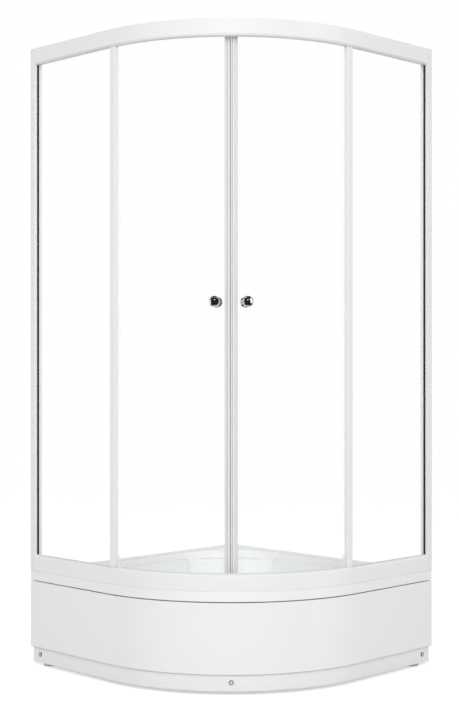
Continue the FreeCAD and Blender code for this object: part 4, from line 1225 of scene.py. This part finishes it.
class SHOWER_OT_fixings(bpy.types.Operator):
    """Makes the apron's screws with their cups."""

    bl_idname = "shower.make_fixings"
    bl_label = "Fixings"

    def execute(self, context):
        fittings = settings("fittings")
        places = apron_screw_places()
        heads = [
            skin(cross_head(spot, out, fittings.screw_head, fittings.screw_head_height))
            for spot, out in places
        ]
        piece("apron_screw_heads", heads, "apron_screws", slot="coated_white")
        rim = fittings.cup_depth
        cup = rounded([
            (0, fittings.screw_head + EDGE, EDGE / 2), (0, fittings.cup, EDGE / 2),
            (rim, fittings.cup - rim / 2, rim / 3), (rim, fittings.screw_head + EDGE, EDGE),
        ], steps=6)
        cups = [skin(turned(cup, *place), ring=True) for place in places]
        # The cups take the dark rubber finish as a painted reflection: their dark tone stands for the dark ring
        # that chrome cups mirror.
        piece("apron_cups", cups, "apron_screw_cups", slot="gasket_dark")
        return {"FINISHED"}


class SHOWER_OT_rollers(bpy.types.Operator):
    """Makes the rollers and their stepped axles, at the places of the rollers' joints."""

    bl_idname = "shower.make_rollers"
    bl_label = "Rollers"

    def execute(self, context):
        fittings, surround = settings("fittings"), settings("surround")
        half_width, recess = fittings.wheel_width / 2, fittings.wheel_recess
        rim = fittings.wheel - EDGE * 2
        tread = [
            (half_width, fittings.axle + EDGE / 5, EDGE / 4), (half_width, fittings.wheel_hub, EDGE / 2),
            (half_width - recess, fittings.wheel_hub + recess, EDGE / 2),
            (half_width - recess, rim - recess, EDGE / 2), (half_width, rim, EDGE / 2),
            (half_width - EDGE * 2, fittings.wheel, EDGE / 2),
        ]
        wheel = rounded(with_mirror(tread, 0), steps=4)
        axle = self.axle_profile(fittings, surround)
        axles = {side: [] for side in SIDES}
        for joint in SPINS:
            node = joint["child"]
            spot, axis = np.array(joint["pos_m"]), np.array(joint["axis"], float)
            axis = axis / np.linalg.norm(axis)
            piece(f"{node}_tyre", [skin(turned(wheel, spot, axis), ring=True)], node)
            axles[node.rsplit("_", 1)[1]].append(skin(turned(axle, spot, axis)))
        for side, skins in axles.items():
            piece(f"axles_{side}", skins, f"roller_axles_{side}")
        return {"FINISHED"}

    def axle_profile(self, fittings, surround):
        """Cap inside the pane, neck through it, shoulder, journal and riveted end.

        Corners are (along, radius), along the axle from the middle of its wheel, outwards."""
        wheel_radius = surround.front_radius - fittings.wheel_inset
        outer_face = door_radius() + surround.glass / 2 - wheel_radius
        seat = inner_seat(fittings.axle_cap) - wheel_radius
        cap = seat - fittings.axle_cap_height
        side = fittings.wheel_width / 2 + fittings.wheel_slack
        end = side + fittings.axle_flange_height
        return rounded([
            (cap, AXIS_DOT, 0), (cap, fittings.axle_cap, EDGE * 4), (seat, fittings.axle_cap, EDGE),
            (seat, fittings.axle_neck, EDGE / 2), (outer_face, fittings.axle_neck, EDGE / 2),
            (outer_face, fittings.axle_shoulder, EDGE), (-side, fittings.axle_shoulder, EDGE),
            (-side, fittings.axle, EDGE / 4), (side, fittings.axle, EDGE / 4),
            (side, fittings.axle_flange, EDGE / 2), (end, fittings.axle_flange, EDGE), (end, AXIS_DOT, 0),
        ], closed=False)


class SHOWER_OT_drain(bpy.types.Operator):
    """Makes the drain's flange with its tube, and the domed cover with its skirt."""

    bl_idname = "shower.make_drain"
    bl_label = "Drain"

    def execute(self, context):
        fittings = settings("fittings")
        spot = np.append(middle("drain_flange")[:2], low("drain_cover", Z) + fittings.drain_skirt)
        under, tube_end = -fittings.drain_flange_height, -fittings.drain_tube_length
        flange = rounded([
            (0, fittings.drain_bore, EDGE), (0, fittings.drain_flange, EDGE * 2),
            (under, fittings.drain_flange, EDGE / 2), (under, fittings.drain_tube, EDGE / 2),
            (tube_end, fittings.drain_tube, EDGE), (tube_end, fittings.drain_bore, EDGE),
        ])
        ring = skin(turned(flange, spot, UP, sides=72), ring=True)
        piece("drain_ring", [ring], "drain_flange", look="drain_satin")
        height, skirt = fittings.drain_cover_height, fittings.drain_skirt_radius
        inside = skirt - fittings.drain_skirt_wall
        edge_share, round_share, crown_share = 0.5, 0.3, 0.7
        cover = rounded([
            (0, AXIS_DOT, 0), (0, inside, EDGE / 2), (-fittings.drain_skirt, inside, EDGE / 2),
            (-fittings.drain_skirt, skirt, EDGE / 2), (0, skirt, EDGE / 2),
            (0, fittings.drain_cover, EDGE / 2),
            (height * edge_share, fittings.drain_cover, height * round_share),
            (height, fittings.drain_cover * crown_share, height), (height, AXIS_DOT, 0),
        ], steps=8, closed=False)
        dome = skin(turned(cover, spot, UP, sides=72))
        piece("drain_dome", [dome], "drain_cover", look="drain_satin")
        return {"FINISHED"}


class SHOWER_OT_feet(bpy.types.Operator):
    """Makes the foot pads and their threaded studs."""

    bl_idname = "shower.make_feet"
    bl_label = "Feet"

    def execute(self, context):
        fittings = settings("fittings")
        line, end = HALF - fittings.foot_from_wall, HALF - fittings.foot_from_front
        front = bend_centre() + DIAGONAL * (settings("surround").front_radius - fittings.front_foot_inset)
        spots = [(end, line), (-line, -end), (-line, line), tuple(front), (-line / 2, line / 2)]
        pad = rounded([
            (0, AXIS_DOT, 0), (0, fittings.pad, EDGE), (fittings.pad_base, fittings.pad, EDGE * 3),
            (fittings.pad_height, fittings.pad_neck, EDGE * 2), (fittings.pad_height, AXIS_DOT, 0),
        ], steps=6, closed=False)
        pads = [skin(turned(pad, (x, y, 0.0), UP)) for x, y in spots]
        piece("pads", pads, "foot_pads")
        studs = [skin(self.thread(x, y, fittings)) for x, y in spots]
        piece("threaded_studs", studs, "foot_studs", crease=60)
        return {"FINISHED"}

    def thread(self, x, y, fittings):
        """Helical thread: radius = stud - depth * |2 * frac(z / pitch - turn) - 1|, turn from 0 to 1."""
        start, end = low("foot_studs", Z), high("foot_studs", Z)
        rows_a_pitch, sides = 6, 24
        z = np.linspace(start, end, int((end - start) / fittings.stud_pitch * rows_a_pitch))[:, None]
        turn = np.linspace(0, 1, sides, endpoint=False)[None]
        saw = np.abs(2 * np.mod(z / fittings.stud_pitch - turn, 1) - 1)
        radius = fittings.stud - fittings.stud_thread * saw
        return np.stack([
            x + radius * np.cos(2 * math.pi * turn), y + radius * np.sin(2 * math.pi * turn),
            np.broadcast_to(z, radius.shape),
        ], -1)


class SHOWER_OT_cad_finishes(bpy.types.Operator):
    """Gives the CAD pieces that stay as they are their finish."""

    bl_idname = "shower.finish_cad_pieces"
    bl_label = "Finishes of plain pieces"

    def execute(self, context):
        for node, made in frame["nodes"].items():
            made.data.materials.clear()
            made.data.materials.append(finish(SLOT_OF[node]))
        return {"FINISHED"}


# Stage

# Windows in the dark tent, in degrees: turn from the camera, left and right, then rise, bottom and top
FLAG_WINDOWS = {
    "left": (-140, -84, -25, 25),
    "behind_left": (-180, -162, -25, 8), "behind_right": (162, 180, -25, 8),
}
# The lamp that stands in for a window, in the same degrees
MIRROR_WINDOW = (50, 128, -25, 50)


def ray(turn, rise):
    """Unit vectors by turn from the camera's bearing and by rise.

    With bearing = turn - 45 degrees: (cos rise * cos bearing, cos rise * sin bearing, sin rise)."""
    bearing = turn - BISECTOR
    parts = np.cos(rise) * np.cos(bearing), np.cos(rise) * np.sin(bearing), np.sin(rise)
    return np.stack(np.broadcast_arrays(*parts), -1)


def in_front(reach, height):
    """A point on the camera's side, by its distance in plan from the middle and its height."""
    return np.append(DIAGONAL * reach, height)


class SHOWER_OT_stage(bpy.types.Operator):
    """Sets the white world, the pale floor, the mirrors' tent and window, the lamps and the camera."""

    bl_idname = "shower.set_stage"
    bl_label = "Stage"

    def execute(self, context):
        stage = settings("stage")
        context.scene.view_settings.view_transform = "Standard"
        self.set_world(stage)
        self.lay_floor(stage)
        self.raise_flags(stage)
        self.hang_window(stage)
        front = self.hang_light(
            "front_softbox", in_front(stage.front_reach, stage.front_rise), CENTRE, stage.front_width,
            stage.front_height, stage.front_light)
        top = self.hang_light(
            "top_softbox", UP * stage.top_height, (0, 0, 0), stage.top_width, stage.top_width,
            stage.top_light)
        self.hang_light(
            "edge_softbox", in_front(stage.edge_reach, stage.edge_rise), UP * TRAY_TOP, stage.edge_width,
            stage.edge_height, stage.edge_light)
        fill = self.hang_fill(stage)
        front.visible_glossy = top.visible_glossy = fill.visible_glossy = False
        self.set_camera(stage)
        return {"FINISHED"}

    def set_world(self, stage):
        """White for what the camera sees straight, in mirrors or through glass; softer for the rest."""
        world = bpy.data.worlds.new("soft_white")
        world.use_nodes = True
        tree = world.node_tree
        background = tree.nodes["Background"]
        set_inputs(background, Color=(1.0, 1.0, 1.0, 1.0))
        gain = math_node(tree, "MULTIPLY", seen_mask(tree), 1.0 - stage.sky)
        join(tree, (math_node(tree, "ADD", gain, stage.sky), background.inputs["Strength"]))
        bpy.context.scene.world = world

    def lay_floor(self, stage):
        """Flat disc: points (r cos t, r sin t, 0) on a grid of radii and turns, closer in the middle."""
        rings, spokes, first_ring = 24, 96, 0.001
        r = np.linspace(first_ring, 1, rings)[:, None] ** 2 * stage.floor_radius
        t = np.linspace(0, 2 * math.pi, spokes, endpoint=False)[None]
        points = np.stack([r * np.cos(t), r * np.sin(t), np.zeros_like(r * t)], -1)
        quads = grid_quads(rings, spokes, wrap_columns=True)[..., ::-1].reshape(-1, 4)
        mesh = bpy.data.meshes.new("floor")
        mesh.from_pydata(points.reshape(-1, 3).tolist(), [], quads.tolist() + [list(range(spokes))])
        mesh.materials.append(self.floor_finish(stage))
        floor = bpy.data.objects.new("floor", mesh)
        bpy.context.scene.collection.objects.link(floor)
        floor.visible_glossy = False

    def raise_flags(self, stage):
        """A dark tent that only mirrors see, as a photographer hangs one, with windows onto the white.

        A sphere about the enclosure by turn and rise; quads whose middle lies in a window are left out."""
        columns, rows = 181, 91
        turn = np.linspace(-math.pi, math.pi, columns)[None]
        rise = np.linspace(-QUARTER, QUARTER, rows)[:, None]
        points = ray(turn, rise) * stage.flag_radius + CENTRE
        quads = grid_quads(rows, columns)[..., ::-1]
        mid_turn = np.degrees(turn[:, 1:] + turn[:, :-1]) / 2
        mid_rise = np.degrees(rise[1:] + rise[:-1]) / 2
        kept = np.ones(quads.shape[:2], bool)
        for left, right, bottom, top in FLAG_WINDOWS.values():
            kept &= ~((mid_turn > left) & (mid_turn < right) & (mid_rise > bottom) & (mid_rise < top))
        mesh = bpy.data.meshes.new("flags")
        mesh.from_pydata(points.reshape(-1, 3).tolist(), [], quads[kept].tolist())
        mesh.materials.append(self.flag_cloth(stage))
        made = bpy.data.objects.new("flags", mesh)
        made.visible_camera = made.visible_diffuse = made.visible_transmission = False
        made.visible_shadow = made.visible_volume_scatter = False
        bpy.context.scene.collection.objects.link(made)

    def flag_cloth(self, stage):
        """Dark matt cloth."""
        material, _, shader = new_material("flag_cloth")
        set_inputs(shader, Base_Color=(*stage.flag_tone, 1.0))
        return material

    def hang_window(self, stage):
        """A white window at the right that only mirrors see, and the left door's knobs don't."""
        left, right, bottom, top = np.radians(MIRROR_WINDOW)
        spot = CENTRE + ray((left + right) / 2, (bottom + top) / 2) * stage.window_reach
        width = 2 * stage.window_reach * math.tan((right - left) / 2)
        height = 2 * stage.window_reach * math.tan((top - bottom) / 2)
        watts = stage.window_light * width * height
        lamp = self.hang_light("mirror_window", spot, CENTRE, width, height, watts)
        lamp.visible_diffuse = False
        self.link_light(lamp, ("knob_turned_outer_left", "knob_turned_inner_left"), "EXCLUDE")

    def link_light(self, lamp, names, state):
        """Gives a lamp to some pieces alone, or to all but those."""
        linked = bpy.data.collections.new("linked_to_" + lamp.name)
        for name in names:
            linked.objects.link(bpy.data.objects[name])
        for row in linked.collection_objects:
            row.light_linking.link_state = state
        lamp.light_linking.receiver_collection = linked

    def floor_finish(self, stage):
        """Matt pale floor, lifted to white for the camera, mirrors and glass, that fades out far off."""
        material, tree, shader = new_material("pale_floor")
        set_inputs(shader, Base_Color=(*stage.floor_colour, 1.0), Roughness=0.9, Specular_IOR_Level=0.1)
        glow = add_node(tree, "ShaderNodeEmission")
        lift = math_node(tree, "MULTIPLY", seen_mask(tree), stage.floor_lift)
        both = add_node(tree, "ShaderNodeAddShader")
        place = add_node(tree, "ShaderNodeTexCoord")
        reach = add_node(tree, "ShaderNodeVectorMath", operation="LENGTH")
        fade = add_node(tree, "ShaderNodeMapRange", interpolation_type="SMOOTHSTEP")
        set_inputs(
            fade, From_Min=stage.floor_radius * stage.floor_fade_start,
            From_Max=stage.floor_radius * stage.floor_fade_end)
        clear = add_node(tree, "ShaderNodeBsdfTransparent")
        mix = add_node(tree, "ShaderNodeMixShader")
        join(
            tree, (lift, glow.inputs["Strength"]), (shader.outputs["BSDF"], both.inputs[0]),
            (glow.outputs["Emission"], both.inputs[1]), (place.outputs["Object"], reach.inputs[0]),
            (reach.outputs["Value"], fade.inputs["Value"]), (fade.outputs["Result"], mix.inputs["Fac"]),
            (both.outputs["Shader"], mix.inputs[1]), (clear.outputs["BSDF"], mix.inputs[2]),
            (mix.outputs["Shader"], tree.nodes["Material Output"].inputs["Surface"]))
        return material

    def hang_light(self, name, spot, aim, width, height, watts):
        """A rectangular softbox that faces a point."""
        data = bpy.data.lights.new(name, "AREA")
        data.shape = "RECTANGLE"
        data.size, data.size_y, data.energy = width, height, watts
        return self.aim_lamp(data, spot, aim)

    def hang_fill(self, stage):
        """A soft-edged spot on the front of the corner ledge, over the bottom rail, for the tray alone."""
        data = bpy.data.lights.new("ledge_fill", "SPOT")
        data.energy, data.shadow_soft_size = stage.fill_light, stage.fill_size
        data.spot_size, data.spot_blend = stage.fill_cone, 1.0
        tray = settings("tray")
        below_rim = 2 * tray.ledge_drop
        ledge = in_front(tray.ledge_reach - HALF * math.sqrt(2), TRAY_TOP - below_rim)
        lamp = self.aim_lamp(data, in_front(stage.fill_reach, stage.fill_rise), ledge)
        self.link_light(lamp, ("tray",), "INCLUDE")
        return lamp

    def aim_lamp(self, data, spot, aim):
        """A lamp at a spot that faces a point and that the camera and the panes don't see."""
        lamp = bpy.data.objects.new(data.name, data)
        lamp.location = spot
        away = Vector(spot) - Vector(aim)
        lamp.rotation_euler = away.to_track_quat("Z", "Y").to_euler()
        lamp.visible_camera = lamp.visible_transmission = False
        bpy.context.scene.collection.objects.link(lamp)
        return lamp

    def set_camera(self, stage):
        """Level camera on the corner's bisector."""
        data = bpy.data.cameras.new("camera")
        data.lens = stage.lens
        data.shift_x, data.shift_y = stage.shift_x, stage.shift_y
        camera = bpy.data.objects.new("camera", data)
        camera.location = in_front(stage.camera_reach, stage.camera_height)
        camera.rotation_euler = (QUARTER, 0, BISECTOR)
        bpy.context.scene.collection.objects.link(camera)
        bpy.context.scene.camera = camera


# Add-on

GROUPS = {
    "surround": ShowerSurround, "seals": ShowerSeals, "tray": ShowerTray, "fittings": ShowerFittings,
    "finish": ShowerFinish, "stage": ShowerStage,
}
OPERATORS = (
    SHOWER_OT_cad_finishes, SHOWER_OT_tray, SHOWER_OT_apron, SHOWER_OT_rails, SHOWER_OT_uprights,
    SHOWER_OT_glass, SHOWER_OT_seals, SHOWER_OT_knobs, SHOWER_OT_fixings, SHOWER_OT_rollers,
    SHOWER_OT_drain, SHOWER_OT_feet, SHOWER_OT_stage,
)


class SHOWER_PT_panel(bpy.types.Panel):
    """Lists the settings and the makers of the enclosure's pieces."""

    bl_idname = "SHOWER_PT_panel"
    bl_label = "Shower enclosure"
    bl_space_type = "VIEW_3D"
    bl_region_type = "UI"
    bl_category = "Shower"

    def draw(self, context):
        for operator in OPERATORS:
            self.layout.operator(operator.bl_idname)
        for name, group in GROUPS.items():
            box = self.layout.box()
            box.label(text=group.__doc__)
            for field in group.__annotations__:
                box.prop(settings(name), field)


def register():
    """Makes the settings, the operators and the panel known to Blender."""
    for group in GROUPS.values():
        bpy.utils.register_class(group)
    for made in OPERATORS + (SHOWER_PT_panel,):
        bpy.utils.register_class(made)
    for name, group in GROUPS.items():
        setattr(bpy.types.Scene, "shower_" + name, bpy.props.PointerProperty(type=group))


def unregister():
    """Takes them out again."""
    for name in GROUPS:
        delattr(bpy.types.Scene, "shower_" + name)
    for made in (SHOWER_PT_panel,) + OPERATORS[::-1] + tuple(GROUPS.values()):
        bpy.utils.unregister_class(made)


def main():
    """Makes every piece and the stage."""
    register()
    for operator in OPERATORS:
        space, name = operator.bl_idname.split(".")
        getattr(getattr(bpy.ops, space), name)()


if __name__ == "__main__":
    main()
